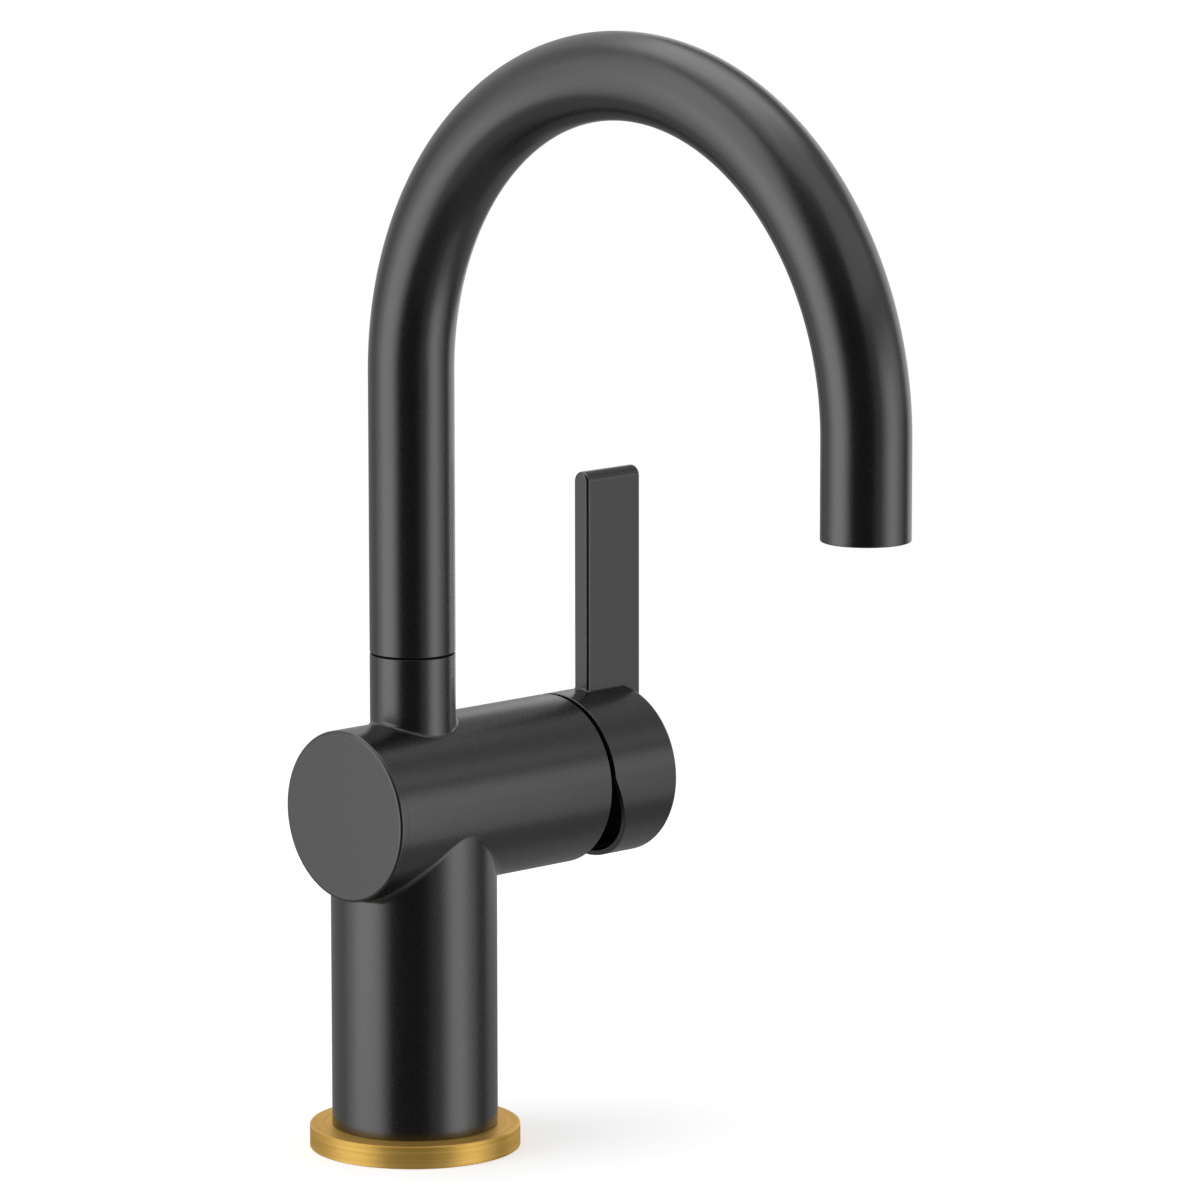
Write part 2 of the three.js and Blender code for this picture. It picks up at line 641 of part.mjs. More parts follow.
// The shank's outer side from its foot to the seam, with a groove for the clip and one for each
// rubber ring. Heights are from the stub's rim.
function spoutShank() {
  const foot = SHANK_LIFT - SOCKET_DEPTH;
  const plugFoot = SEAM;
  const plugR = TUBE_BORE_R - FIT_GAP;
  const bore = SHANK_R - SHANK_WALL;
  const ringFloor = SHANK_RING_R - O_RING_R - SEAL_GAP;
  const ringHalf = O_RING_R + SEAL_GAP;
  const grooves = [
    [-CLIP_DROP - FIT_GAP, -CLIP_DROP + CLIP_THICKNESS + FIT_GAP, SHANK_R - CLIP_DEPTH],
    [-LOWER_RING_DROP - ringHalf, -LOWER_RING_DROP + ringHalf, ringFloor],
    [-UPPER_RING_DROP - ringHalf, -UPPER_RING_DROP + ringHalf, ringFloor],
  ];
  const side = grooves.flatMap(([from, to, floor]) => [
    [SHANK_R, from],
    [floor, from],
    [floor, to],
    [SHANK_R, to],
  ]);
  return turned([
    [bore, foot],
    [SHANK_R, foot],
    ...side,
    [SHANK_R, plugFoot],
    [plugR, plugFoot],
    [plugR, plugFoot + SHANK_PLUG],
    [bore, plugFoot + SHANK_PLUG],
  ]);
}

function retainingClip() {
  const outer = SOCKET_R + CLIP_REACH - FIT_GAP;
  const inner = SHANK_R - CLIP_DEPTH + FIT_GAP;
  const start = CLIP_MOUTH / 2;
  const end = 2 * Math.PI - start;
  const outline = new THREE.Shape().absarc(0, 0, outer, start, end).absarc(0, 0, inner, end, start, true);
  return new THREE.ExtrudeGeometry(outline, {
    depth: CLIP_THICKNESS,
    curveSegments: sidesOf(outer) / 2,
    bevelEnabled: false,
  });
}

function glideWasher() {
  return tubeOf(SHANK_R + FIT_GAP, TUBE_R - WASHER_INSET, SEAT_GAP, SEAM - SEAT_GAP);
}

const WASHER_Z = AERATOR_RECESS + AERATOR_HEIGHT + SEAT_GAP;
const SHOULDER_Z = WASHER_Z + OUTLET_WASHER_HEIGHT + SEAT_GAP;

function outletSleeve() {
  const shoulderR = SLEEVE_BORE_R - SLEEVE_SHOULDER;
  const top = SHOULDER_Z + SHOULDER_HEIGHT;
  return turned([
    [SLEEVE_BORE_R, SLEEVE_RECESS],
    [SLEEVE_R, SLEEVE_RECESS],
    [SLEEVE_R, top],
    [shoulderR, top],
    [shoulderR, SHOULDER_Z],
    [SLEEVE_BORE_R, SHOULDER_Z],
  ]);
}

function aeratorHousing() {
  const top = AERATOR_RECESS + AERATOR_HEIGHT;
  const lipTop = AERATOR_RECESS + LIP_THICKNESS;
  const lipR = AERATOR_BORE_R - AERATOR_LIP;
  return turned([
    [lipR, AERATOR_RECESS],
    [AERATOR_R, AERATOR_RECESS],
    [AERATOR_R, top],
    [AERATOR_BORE_R, top],
    [AERATOR_BORE_R, lipTop],
    [lipR, lipTop],
  ]);
}

// A disc with a hole at its centre and rings of six, twelve and so on round it.
function aeratorInsert() {
  const from = AERATOR_RECESS + LIP_THICKNESS + SEAT_GAP;
  const to = from + INSERT_HEIGHT;
  const hole = () => cylinder(INSERT_HOLE_R, from - CUT_PAST, to + CUT_PAST);
  const holes = [hole()];
  for (let ring = 1; ring <= INSERT_RINGS; ring++)
    for (let i = 0; i < 6 * ring; i++)
      holes.push(hole().translate(ring * INSERT_PITCH, 0, 0).rotateZ((Math.PI * i) / (3 * ring)));
  return cut(solid(cylinder(AERATOR_BORE_R - FIT_GAP, from, to)), ...holes);
}

function aeratorWasher() {
  const outer = SLEEVE_BORE_R - FIT_GAP;
  return tubeOf(outer - OUTLET_WASHER_WIDTH, outer, WASHER_Z, WASHER_Z + OUTLET_WASHER_HEIGHT);
}

// Finishes: colour, roughness and metalness
const SATIN_BLACK = [0x1d1d1f, 0.42, 0.6];
const BRUSHED_BRASS = [0xb08d3c, 0.35, 1];
const PLAIN_BRASS = [0xb79a55, 0.4, 1];
const STEEL = [0xa8abad, 0.35, 1];
const CERAMIC = [0xe9e6df, 0.25, 0];
const WHITE_PLASTIC = [0xd8d8d4, 0.5, 0];
const BLACK_PLASTIC = [0x232325, 0.55, 0];
const RUBBER = [0x161616, 0.85, 0];

function addPiece(group, name, shape, [color, roughness, metalness], along = 0) {
  const material = new THREE.MeshStandardMaterial({ color, roughness, metalness });
  const piece = new THREE.Mesh(shape.isBufferGeometry ? shape : geometryOf(shape), material);
  piece.name = name;
  piece.position.z = along;
  group.add(piece);
}

function addGroup(parent, x, y, z, turn = 0) {
  const group = new THREE.Group();
  group.position.set(x, y, z);
  group.rotation.y = turn;
  parent.add(group);
  return group;
}

const faucet = new THREE.Group();

addPiece(faucet, "base_ring", baseRing(), BRUSHED_BRASS);
addPiece(faucet, "base_gasket", baseGasket(), RUBBER);
addPiece(faucet, "faucet_body", faucetBody(), SATIN_BLACK);

const hub = addGroup(faucet, 0, 0, HUB_AXIS_Z, Math.PI / 2);
addPiece(hub, "hub_end_cap", hubEndCap(), SATIN_BLACK);
addPiece(hub, "port_seal", portSeal(), RUBBER, SEAL_X);
addPiece(hub, "cartridge_base", cartridgeBase(), WHITE_PLASTIC, CARTRIDGE_BASE_X);
addPiece(hub, "cartridge_o_ring", oRing(BASE_RING_R), RUBBER, CARTRIDGE_BASE_X + CARTRIDGE_BASE / 2);
addPiece(hub, "fixed_disc", fixedDisc(), CERAMIC, FIXED_DISC_X);
addPiece(hub, "moving_disc", movingDisc(), CERAMIC, MOVING_DISC_X);
addPiece(hub, "disc_carrier", discCarrier(), WHITE_PLASTIC, CARRIER_X);
addPiece(hub, "cartridge_housing", cartridgeHousing(), WHITE_PLASTIC, HOUSING_X);
addPiece(hub, "rotor", rotor(), WHITE_PLASTIC, ROTOR_X);
addPiece(hub, "cartridge_nut", cartridgeNut(), PLAIN_BRASS, NUT_X);

const pivot = addGroup(hub, 0, 0, PIVOT_X);
addPiece(pivot, "dome_cover", domeCover(), SATIN_BLACK);
addPiece(pivot, "stem_pin", stemPin(), STEEL);
addPiece(pivot, "stem", stem(), STEEL);
addPiece(pivot, "handle", handle(), SATIN_BLACK);
addPiece(pivot, "handle_adapter", handleAdapter(), BLACK_PLASTIC);

const screwSeat = addGroup(pivot, STEM_WIDTH / 2 + SEAL_GAP, 0, SCREW_AT, Math.PI / 2);
addPiece(screwSeat, "set_screw", setScrew(), STEEL);

const arch = addGroup(faucet, 0, 0, ARCH_Z);
addPiece(arch, "spout_tube", spoutTube(), SATIN_BLACK);

const stub = addGroup(faucet, 0, 0, STUB_TOP_Z);
addPiece(stub, "spout_shank", spoutShank(), PLAIN_BRASS);
addPiece(stub, "spout_o_ring_upper", oRing(SHANK_RING_R), RUBBER, -UPPER_RING_DROP);
addPiece(stub, "spout_o_ring_lower", oRing(SHANK_RING_R), RUBBER, -LOWER_RING_DROP);
addPiece(stub, "spout_retaining_clip", retainingClip(), STEEL, -CLIP_DROP);
addPiece(stub, "spout_glide_washer", glideWasher(), BLACK_PLASTIC);

const mouth = addGroup(faucet, 0, -2 * ARCH_R, MOUTH_Z);
addPiece(mouth, "outlet_sleeve", outletSleeve(), PLAIN_BRASS);
addPiece(mouth, "aerator_housing", aeratorHousing(), BLACK_PLASTIC);
addPiece(mouth, "aerator_insert", aeratorInsert(), BLACK_PLASTIC);
addPiece(mouth, "aerator_washer", aeratorWasher(), RUBBER);

export default faucet;
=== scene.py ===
"""A gooseneck bar faucet: the fine surfaces and finishes round its CAD model.

Shapes are worked out in millimetres and become metres when their mesh is made. The frame is the
CAD model's: +Z up, the spout towards -Y, the hub along X with the handle on its +X end.
"""

import json
import math

import bpy
import numpy as np
from mathutils import Matrix, Vector
from mathutils.geometry import delaunay_2d_cdt


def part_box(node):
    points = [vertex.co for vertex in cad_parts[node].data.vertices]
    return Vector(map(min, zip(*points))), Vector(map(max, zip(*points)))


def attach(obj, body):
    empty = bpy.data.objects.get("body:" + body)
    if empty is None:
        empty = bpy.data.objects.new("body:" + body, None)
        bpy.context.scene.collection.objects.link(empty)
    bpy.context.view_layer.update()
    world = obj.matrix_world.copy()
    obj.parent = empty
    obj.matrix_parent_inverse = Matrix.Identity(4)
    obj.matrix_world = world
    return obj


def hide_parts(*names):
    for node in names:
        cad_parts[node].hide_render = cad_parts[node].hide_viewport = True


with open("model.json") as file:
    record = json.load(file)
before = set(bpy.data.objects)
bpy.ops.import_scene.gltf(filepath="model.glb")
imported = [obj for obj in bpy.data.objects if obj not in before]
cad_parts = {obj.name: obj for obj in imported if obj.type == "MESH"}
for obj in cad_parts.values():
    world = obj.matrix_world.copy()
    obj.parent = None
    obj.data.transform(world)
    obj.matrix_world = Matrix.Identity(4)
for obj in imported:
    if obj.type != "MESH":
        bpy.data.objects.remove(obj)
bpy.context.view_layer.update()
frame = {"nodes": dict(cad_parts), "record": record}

MM = 0.001
TURN = 2 * math.pi


def millimetres(node):
    low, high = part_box(node)
    return [c / MM for c in low], [c / MM for c in high]


_, RING_HIGH = millimetres("base_ring")
BODY_LOW, BODY_HIGH = millimetres("faucet_body")
END_CAP_LOW, END_CAP_HIGH = millimetres("hub_end_cap")
HANDLE_LOW, HANDLE_HIGH = millimetres("handle")
DOME_LOW, DOME_HIGH = millimetres("dome_cover")
PIN_LOW, PIN_HIGH = millimetres("stem_pin")
SCREW_LOW, SCREW_HIGH = millimetres("set_screw")
TUBE_LOW, TUBE_HIGH = millimetres("spout_tube")
WASHER_LOW, WASHER_HIGH = millimetres("spout_glide_washer")
GASKET_LOW, GASKET_HIGH = millimetres("base_gasket")
SLEEVE_LOW, SLEEVE_HIGH = millimetres("outlet_sleeve")
AERATOR_LOW, AERATOR_HIGH = millimetres("aerator_housing")
INSERT_LOW, INSERT_HIGH = millimetres("aerator_insert")

# Ring, column and hub
SEAT_GAP = 0.05
FIT_GAP = 0.3
RING_R = RING_HIGH[0]
RING_TOP = BODY_LOW[2] - SEAT_GAP
RING_EDGE = 0.5
LIP_WALL = 1.7
GASKET_CLEARANCE = 0.3
GASKET_WIDTH = 7.0
GASKET_EDGE = 0.2
GASKET_BORE_R = GASKET_HIGH[0] - GASKET_WIDTH + 2 * GASKET_CLEARANCE
GROOVE_DEPTH = GASKET_HIGH[2] + GASKET_CLEARANCE
COLUMN_R = -BODY_LOW[0]
RECESS_R = 20.0
RECESS_TOP = 60.0
HUB_R = BODY_HIGH[1]
HUB_Z = (END_CAP_LOW[2] + END_CAP_HIGH[2]) / 2
SPIGOT_LENGTH = 5.0
END_CAP_BACK = END_CAP_HIGH[0] - SPIGOT_LENGTH
END_CAP_GAP = 0.01
HUB_START = END_CAP_BACK + END_CAP_GAP
HUB_END = BODY_HIGH[0]
STUB_TOP = BODY_HIGH[2]
STUB_FILLET = 1.2
COLUMN_FILLET = 3.0
EDGE = 0.25  # the rounding of a machined edge
FINE_EDGE = 0.15
SOCKET_R = 10.0
SOCKET_DEPTH = 36.1
BORE_R = 18.0
BORE_FLOOR = 21.0
THREAD_R = 19.2
THREAD_LENGTH = 9.2
POCKET_R = 19.3
POCKET_FLOOR = -13.5
INLET_X, INLET_Y, INLET_R, INLET_DEPTH = 11.0, 7.58, 4.6, 10.0
STUD_X, STUD_R, STUD_DEPTH = -9.0, 3.4, 14.0

# End cap and dome cover
END_CAP_ROUND = 1.0
END_CAP_BACK_EDGE = 0.05
SPIGOT_R = 19.0
SPIGOT_WALL = 2.0
PIVOT_X = (PIN_LOW[0] + PIN_HIGH[0]) / 2
DOME_R = 20.6
DOME_WALL = 1.2
FLANGE = 1.0

# Handle
CAP_R = HUB_R
CAP_START = HANDLE_LOW[0]
LEVER_END = HANDLE_HIGH[0]
LEVER_OVERHANG = 5.9
CAP_END = LEVER_END - LEVER_OVERHANG
CAP_WALL = 3.1
MOUTH_WALL = 1.5
MOUTH_DEPTH = 12.65
MOUTH_END = CAP_START + MOUTH_DEPTH
CAP_END_WALL = 4.6
CAP_ROUND = 1.0
RELIEF_RISE = 3.0
RELIEF_ANGLE = 22.8
RELIEF_SLOPE = math.tan(math.radians(RELIEF_ANGLE))
CAVITY_R = CAP_R - CAP_WALL
MOUTH_R = CAP_R - MOUTH_WALL
BOSS_R = 8.72
BOSS_START = PIVOT_X + DOME_R + FIT_GAP
SOCKET_HALF = 4.75
SOCKET_FLOOR = 1.2
SOCKET_END = CAP_END - CAP_END_WALL - SOCKET_FLOOR
SCREW_X = (SCREW_LOW[0] + SCREW_HIGH[0]) / 2
SCREW_HOLE_R = SCREW_HIGH[1] + FIT_GAP
LEVER_WIDTH = 21.6
LEVER_START = LEVER_END - LEVER_WIDTH
LEVER_HALF = 3.05
LEVER_TOP = HANDLE_HIGH[2] - HUB_Z - LEVER_HALF  # centre of its round top, over the hub's axis
LEVER_BELOW_AXIS = 6.0
LEVER_FOOT = LEVER_HALF - LEVER_BELOW_AXIS  # centre of its round foot
LEVER_ROUND = 1.0
LEVER_ROOT = 0.8

# Spout
TUBE_R = TUBE_HIGH[0]
TUBE_WALL = 1.5
TUBE_BORE_R = TUBE_R - TUBE_WALL
ARCH_R = (-TUBE_LOW[1] - TUBE_R) / 2
ARCH_Z = TUBE_HIGH[2] - ARCH_R - TUBE_R
OUTLET_Y = -2 * ARCH_R
AERATOR_RECESS = 0.5
OUTLET_Z = AERATOR_LOW[2] - AERATOR_RECESS
OUTLET_EDGE = 0.35
SLEEVE_WALL = 1.0
SHOULDER_HEIGHT = 5.0
SHOULDER_WIDTH = 1.5
AERATOR_WALL = 1.4
AERATOR_LIP = 1.4
LIP_THICKNESS = 1.2
HOLE_R = 0.7
HOLE_PITCH = 2.7
HOLE_RINGS = 2
GLIDE_WASHER_BORE_R = 10.0
GLIDE_WASHER_EDGE = 0.1

# Fineness
MERGE = 1e-4
ROUND_STEPS = 5
FILLET_STEPS = 8
STUB_SIDES = 144
COLUMN_SIDES = 216
HUB_SIDES = 240
CAP_SIDES = 144
TUBE_SIDES = 112
ARCH_STEPS = 144
DOME_STEPS = 16
LEVER_STEPS = 6
LEVER_FACE_STEPS = 4
HALF_TURN_STEPS = 24
HOLE_SIDES = 32
HUB_LENGTH_STEPS = 24
SKIN_STEP = 2.5
TRIANGULATION_TOLERANCE = 1e-6


def placed(name, data):
    """A new object in the scene."""
    thing = bpy.data.objects.new(name, data)
    bpy.context.scene.collection.objects.link(thing)
    return thing


class Shell:
    """Gathers faces with a normal at each corner, and joins corners that coincide. A face takes
    the finish that look numbers when it is made."""

    def __init__(self):
        self.points, self.faces, self.normals, self.known = [], [], [], {}
        self.look, self.looks = 0, []

    def index(self, point):
        key = tuple(round(c / MERGE) for c in point)
        if key not in self.known:
            self.known[key] = len(self.points)
            self.points.append(point)
        return self.known[key]

    def face(self, corners):
        """corners are (point, normal) pairs in either direction round the face."""
        ring = []
        for point, normal in corners:
            index = self.index(point)
            if not ring or ring[-1][0] != index:
                ring.append((index, normal))
        while len(ring) > 1 and ring[0][0] == ring[-1][0]:
            ring.pop()
        if len({index for index, _ in ring}) < 3:
            return
        area = np.zeros(3)
        points = [np.array(self.points[index]) for index, _ in ring]
        for here, there in zip(points, points[1:] + points[:1]):
            area += np.cross(here - points[0], there - points[0])
        if np.dot(area, np.sum([normal for _, normal in ring], axis=0)) < 0:
            ring.reverse()
        self.faces.append([index for index, _ in ring])
        self.looks.append(self.look)
        self.normals += [tuple(normal) for _, normal in ring]

    def grid(self, rows, closed=False):
        """Quads between neighbouring rows of (point, normal) pairs."""
        pairs = zip(rows, rows[1:] + rows[:1]) if closed else zip(rows, rows[1:])
        for first, second in pairs:
            for k in range(len(first) - 1):
                self.face([first[k], first[k + 1], second[k + 1], second[k]])

    def made(self, name):
        mesh = bpy.data.meshes.new(name)
        mesh.from_pydata([[c * MM for c in point] for point in self.points], [], self.faces)
        mesh.polygons.foreach_set("material_index", self.looks)
        mesh.shade_smooth()
        mesh.normals_split_custom_set(self.normals)
        return placed(name, mesh)


def angles(count):
    return [TURN * i / count for i in range(count)]


def circle(x, y, radius, count):
    """A loop of flat spots round (x, y)."""
    return [(x + radius * math.cos(angle), y + radius * math.sin(angle)) for angle in angles(count)]


def between(start, end, steps):
    return [start + (end - start) * k / steps for k in range(steps + 1)]


def profile(*corners):
    """Strips of a section through (radius, height, rounding) corners, with its outer side on the
    right. A strip is a list of ((radius, height), (normal's radius, normal's height))."""
    strips = []
    at = corners[0][:2]
    for i in range(1, len(corners)):
        radius, height, rounding = corners[i]
        way = math.atan2(height - corners[i - 1][1], radius - corners[i - 1][0])
        trim = turn = 0.0
        if rounding and i < len(corners) - 1:
            onward = math.atan2(corners[i + 1][1] - height, corners[i + 1][0] - radius)
            turn = math.remainder(onward - way, TURN)
            trim = rounding * math.tan(abs(turn) / 2)
        end = (radius - trim * math.cos(way), height - trim * math.sin(way))
        normal = (math.sin(way), -math.cos(way))
        strips.append([(at, normal), (end, normal)])
        at = end
        if trim:
            reach = math.copysign(rounding, turn)
            centre = (end[0] - reach * normal[0], end[1] - reach * normal[1])
            start = way - math.pi / 2
            strips.append(arc(centre, reach, start, start + turn, ROUND_STEPS))
            at = strips[-1][-1][0]
    return strips


def arc(centre, reach, start, end, steps):
    """A round strip. Its normals point from the centre, or to it where the reach is negative."""
    strip = []
    for angle in between(start, end, steps):
        normal = (math.cos(angle), math.sin(angle))
        strip.append(((centre[0] + reach * normal[0], centre[1] + reach * normal[1]), normal))
    return strip


def upright(x=0.0, y=0.0):
    """Places a turned point on an axis along Z."""
    def place(angle, spot, normal):
        c, s = math.cos(angle), math.sin(angle)
        return (
            (x + spot[0] * c, y + spot[0] * s, spot[1]),
            (normal[0] * c, normal[0] * s, normal[1]),
        )
    return place


def along_hub(angle, spot, normal):
    """Places a turned point on the hub's axis, with its height along +X."""
    c, s = math.cos(angle), math.sin(angle)
    return (spot[1], spot[0] * c, HUB_Z + spot[0] * s), (normal[1], normal[0] * c, normal[0] * s)


def turn_up(shell, strips, place, around):
    for strip in strips:
        shell.grid([[place(angle, *step) for step in strip] for angle in around], closed=True)


def inside(points, loops):
    """Which points lie inside an odd number of the loops."""
    points = np.asarray(points)
    odd = np.zeros(len(points), bool)
    for loop in loops:
        loop = np.asarray(loop)
        for (u0, v0), (u1, v1) in zip(loop, np.roll(loop, -1, axis=0)):
            if v0 == v1:
                continue
            spans = (v0 > points[:, 1]) != (v1 > points[:, 1])
            crossing = u0 + (points[:, 1] - v0) * (u1 - u0) / (v1 - v0)
            odd ^= spans & (points[:, 0] < crossing)
    return odd


def inner_points(loops, step):
    """A grid of points inside the loops, clear of their own points."""
    rims = np.array([spot for loop in loops for spot in loop])
    low, high = rims.min(0), rims.max(0)
    us = np.arange(low[0] + step / 2, high[0], step)
    vs = np.arange(low[1] + step / 2, high[1], step)
    spots = np.array([(u, v) for u in us for v in vs])
    if not len(spots):
        return []
    spots = spots[inside(spots, loops)]
    gaps = [np.min(np.hypot(*(rims - spot).T)) for spot in spots]
    return [tuple(spot) for spot, gap in zip(spots, gaps) if gap > step / 2]


def patch(shell, surface, outline, holes=(), step=None):
    """A trimmed piece of a surface. The outline and holes are loops of flat (u, v) spots, and
    surface(u, v) gives a spot's point and normal. A curved one has spots inside, a step apart."""
    loops = [outline, *holes]
    spots = [spot for loop in loops for spot in loop]
    edges = []
    for loop in loops:
        first = edges[-1][0] + 1 if edges else 0
        edges += [(first + i, first + (i + 1) % len(loop)) for i in range(len(loop))]
    if step:
        spots += inner_points(loops, step)
    flat = [Vector(spot) for spot in spots]
    made, _, triangles, sources, _, _ = delaunay_2d_cdt(
        flat, edges, [], 0, TRIANGULATION_TOLERANCE)
    spots = [spots[source[0]] if source else tuple(spot) for spot, source in zip(made, sources)]
    middles = [np.mean([spots[i] for i in triangle], axis=0) for triangle in triangles]
    corners = [surface(*spot) for spot in spots]
    for triangle, kept in zip(triangles, inside(middles, loops)):
        if kept:
            shell.face([corners[i] for i in triangle])


def hub_skin(radius, side=1):
    """The surface of a cylinder round the hub's axis, facing out or in (side -1). u runs round it,
    v along it."""
    def surface(u, v):
        return along_hub(u / radius, (radius, v), (side, 0))
    return surface


def flat_surface(height, up):
    def surface(u, v):
        return (u, v, height), (0, 0, up)
    return surface


def around_hub(point):
    """A point's angle round the hub's axis, from +Y through the top."""
    return math.atan2(point[2] - HUB_Z, point[1]) % TURN


def rolled(centre, first, second, size):
    """A row across a hollow fillet: a ball at centre touches two surfaces, in two directions."""
    first, second = np.array(first), np.array(second)
    opening = math.acos(max(-1.0, min(1.0, float(np.dot(first, second)))))
    row = []
    for share in between(0, 1, FILLET_STEPS):
        way = (math.sin((1 - share) * opening) * first + math.sin(share * opening) * second)
        way = way / math.sin(opening)
        row.append((tuple(np.array(centre) + size * way), tuple(-way)))
    return row


def on_hub(x, y, nx, ny, size, side):
    """The fillet's row where an upright wall at (x, y) meets the hub's top (side 1) or bottom."""
    across = y + size * ny
    drop = side * math.sqrt((HUB_R + size) ** 2 - across ** 2)
    centre = (x + size * nx, across, HUB_Z + drop)
    to_hub = (0, -across / (HUB_R + size), -drop / (HUB_R + size))
    return rolled(centre, (-nx, -ny, 0), to_hub, size)


def flat_spots(points, radius, start=math.pi / 2):
    """Points on a cylinder round the hub as flat spots, measured on from an angle round it."""
    spots = []
    for point in points:
        angle = (around_hub(point) - start) % TURN + start
        spots.append((radius * angle, point[0]))
    return spots


def ends(rows):
    return [row[-1][0] for row in rows]


def stub(shell):
    """The spout's stub on the hub, its socket, and where its fillet meets the hub."""
    rows = []
    for angle in angles(STUB_SIDES):
        c, s = math.cos(angle), math.sin(angle)
        rows.append(on_hub(TUBE_R * c, TUBE_R * s, c, s, STUB_FILLET, 1))
    shell.grid(rows, closed=True)
    top = STUB_TOP - EDGE
    shell.grid([[row[0], ((*row[0][0][:2], top), row[0][1])] for row in rows], closed=True)
    floor = STUB_TOP - SOCKET_DEPTH
    strips = profile(
        (TUBE_R, HUB_Z, 0), (TUBE_R, STUB_TOP, EDGE), (SOCKET_R, STUB_TOP, FINE_EDGE),
        (SOCKET_R, floor, 0), (0, floor, 0),
    )
    turn_up(shell, strips[1:], upright(), angles(STUB_SIDES))
    return flat_spots(ends(rows), HUB_R, 0)


def column(shell):
    """The column under the hub. Its fillet dies out where its side runs into the hub's end."""
    reach = -HUB_START - SEAT_GAP / 2
    rows = []
    for angle in angles(COLUMN_SIDES):
        c, s = math.cos(angle), math.sin(angle)
        size = COLUMN_FILLET if c >= 0 else min(COLUMN_FILLET, reach / -c - COLUMN_R)
        rows.append(on_hub(COLUMN_R * c, COLUMN_R * s, c, s, size, -1))
    shell.grid(rows, closed=True)
    foot = BODY_LOW[2]
    shell.grid([[row[0], ((*row[0][0][:2], foot + EDGE), row[0][1])] for row in rows], closed=True)
    strips = profile(
        (RECESS_R, RECESS_TOP, 0), (RECESS_R, foot, FINE_EDGE), (COLUMN_R, foot, EDGE),
        (COLUMN_R, HUB_Z, 0),
    )
    turn_up(shell, strips[:-1], upright(), angles(COLUMN_SIDES))
    rim = circle(0, 0, RECESS_R, COLUMN_SIDES)
    sockets = [
        (INLET_X, -INLET_Y, INLET_R, INLET_DEPTH),
        (INLET_X, INLET_Y, INLET_R, INLET_DEPTH),
        (STUD_X, 0, STUD_R, STUD_DEPTH),
    ]
    holes = []
    for x, y, radius, depth in sockets:
        holes.append(circle(x, y, radius, HOLE_SIDES))
        end = RECESS_TOP + depth
        strips = profile((0, end, 0), (radius, end, 0), (radius, RECESS_TOP, 0))
        turn_up(shell, strips, upright(x, y), angles(HOLE_SIDES))
    patch(shell, flat_surface(RECESS_TOP, -1), rim, holes)
    return flat_spots(ends(rows), HUB_R, 0)


def body_casting():
    """Column, hub and stub in one piece, with the bores that they hold."""
    shell = Shell()
    holes = [stub(shell), column(shell)]
    around = angles(HUB_SIDES)
    skin_end = HUB_END - EDGE
    across = [HUB_R * angle for angle in [*around, TURN]]
    lengthwise = between(HUB_START, skin_end, HUB_LENGTH_STEPS)
    outline = [
        *[(u, HUB_START) for u in across],
        *[(across[-1], v) for v in lengthwise[1:-1]],
        *[(u, skin_end) for u in reversed(across)],
        *[(0.0, v) for v in reversed(lengthwise[1:-1])],
    ]
    patch(shell, hub_skin(HUB_R), outline, holes, SKIN_STEP)
    right = profile(
        (HUB_R, HUB_START, 0), (HUB_R, HUB_END, EDGE), (THREAD_R, HUB_END, FINE_EDGE),
        (THREAD_R, HUB_END - THREAD_LENGTH, 0), (BORE_R, HUB_END - THREAD_LENGTH, 0),
        (BORE_R, BORE_FLOOR, 0), (0, BORE_FLOOR, 0),
    )
    left = profile(
        (0, POCKET_FLOOR, 0), (POCKET_R, POCKET_FLOOR, 0), (POCKET_R, HUB_START, 0),
        (HUB_R, HUB_START, 0),
    )
    turn_up(shell, right[1:] + left, along_hub, around)
    return shell.made("body_casting")


def end_cap():
    """The flat disc on the hub's left end, with its spigot."""
    shell = Shell()
    face, tail = END_CAP_LOW[0], END_CAP_HIGH[0]
    spigot_bore = SPIGOT_R - SPIGOT_WALL
    strips = profile(
        (0, face, 0), (HUB_R, face, END_CAP_ROUND), (HUB_R, END_CAP_BACK, END_CAP_BACK_EDGE),
        (SPIGOT_R, END_CAP_BACK, 0), (SPIGOT_R, tail, FINE_EDGE), (spigot_bore, tail, FINE_EDGE),
        (spigot_bore, END_CAP_BACK, 0), (0, END_CAP_BACK, 0),
    )
    turn_up(shell, strips, along_hub, angles(HUB_SIDES))
    return shell.made("end_cap_turned")


def base_ring():
    shell = Shell()
    lip = RECESS_R - GASKET_CLEARANCE
    groove_in = -GASKET_LOW[0] - GASKET_WIDTH
    groove_out = GASKET_HIGH[0] + GASKET_CLEARANCE
    strips = profile(
        (lip - LIP_WALL, RING_TOP, 0), (lip - LIP_WALL, 0, FINE_EDGE), (groove_in, 0, FINE_EDGE),
        (groove_in, GROOVE_DEPTH, 0), (groove_out, GROOVE_DEPTH, 0), (groove_out, 0, FINE_EDGE),
        (RING_R, 0, EDGE), (RING_R, RING_TOP, RING_EDGE), (lip, RING_TOP, 0),
        (lip, RING_HIGH[2], FINE_EDGE), (lip - LIP_WALL, RING_HIGH[2], FINE_EDGE),
        (lip - LIP_WALL, RING_TOP, 0),
    )
    turn_up(shell, strips, upright(), angles(COLUMN_SIDES))
    return shell.made("base_ring_turned")


def washer_like(name, inner, outer, low, high, rounding):
    """A plain flat ring."""
    shell = Shell()
    middle = (low + high) / 2
    strips = profile(
        (inner, middle, 0), (inner, low, rounding), (outer, low, rounding),
        (outer, high, rounding), (inner, high, rounding), (inner, middle, 0),
    )
    turn_up(shell, strips, upright(), angles(TUBE_SIDES))
    return shell.made(name)


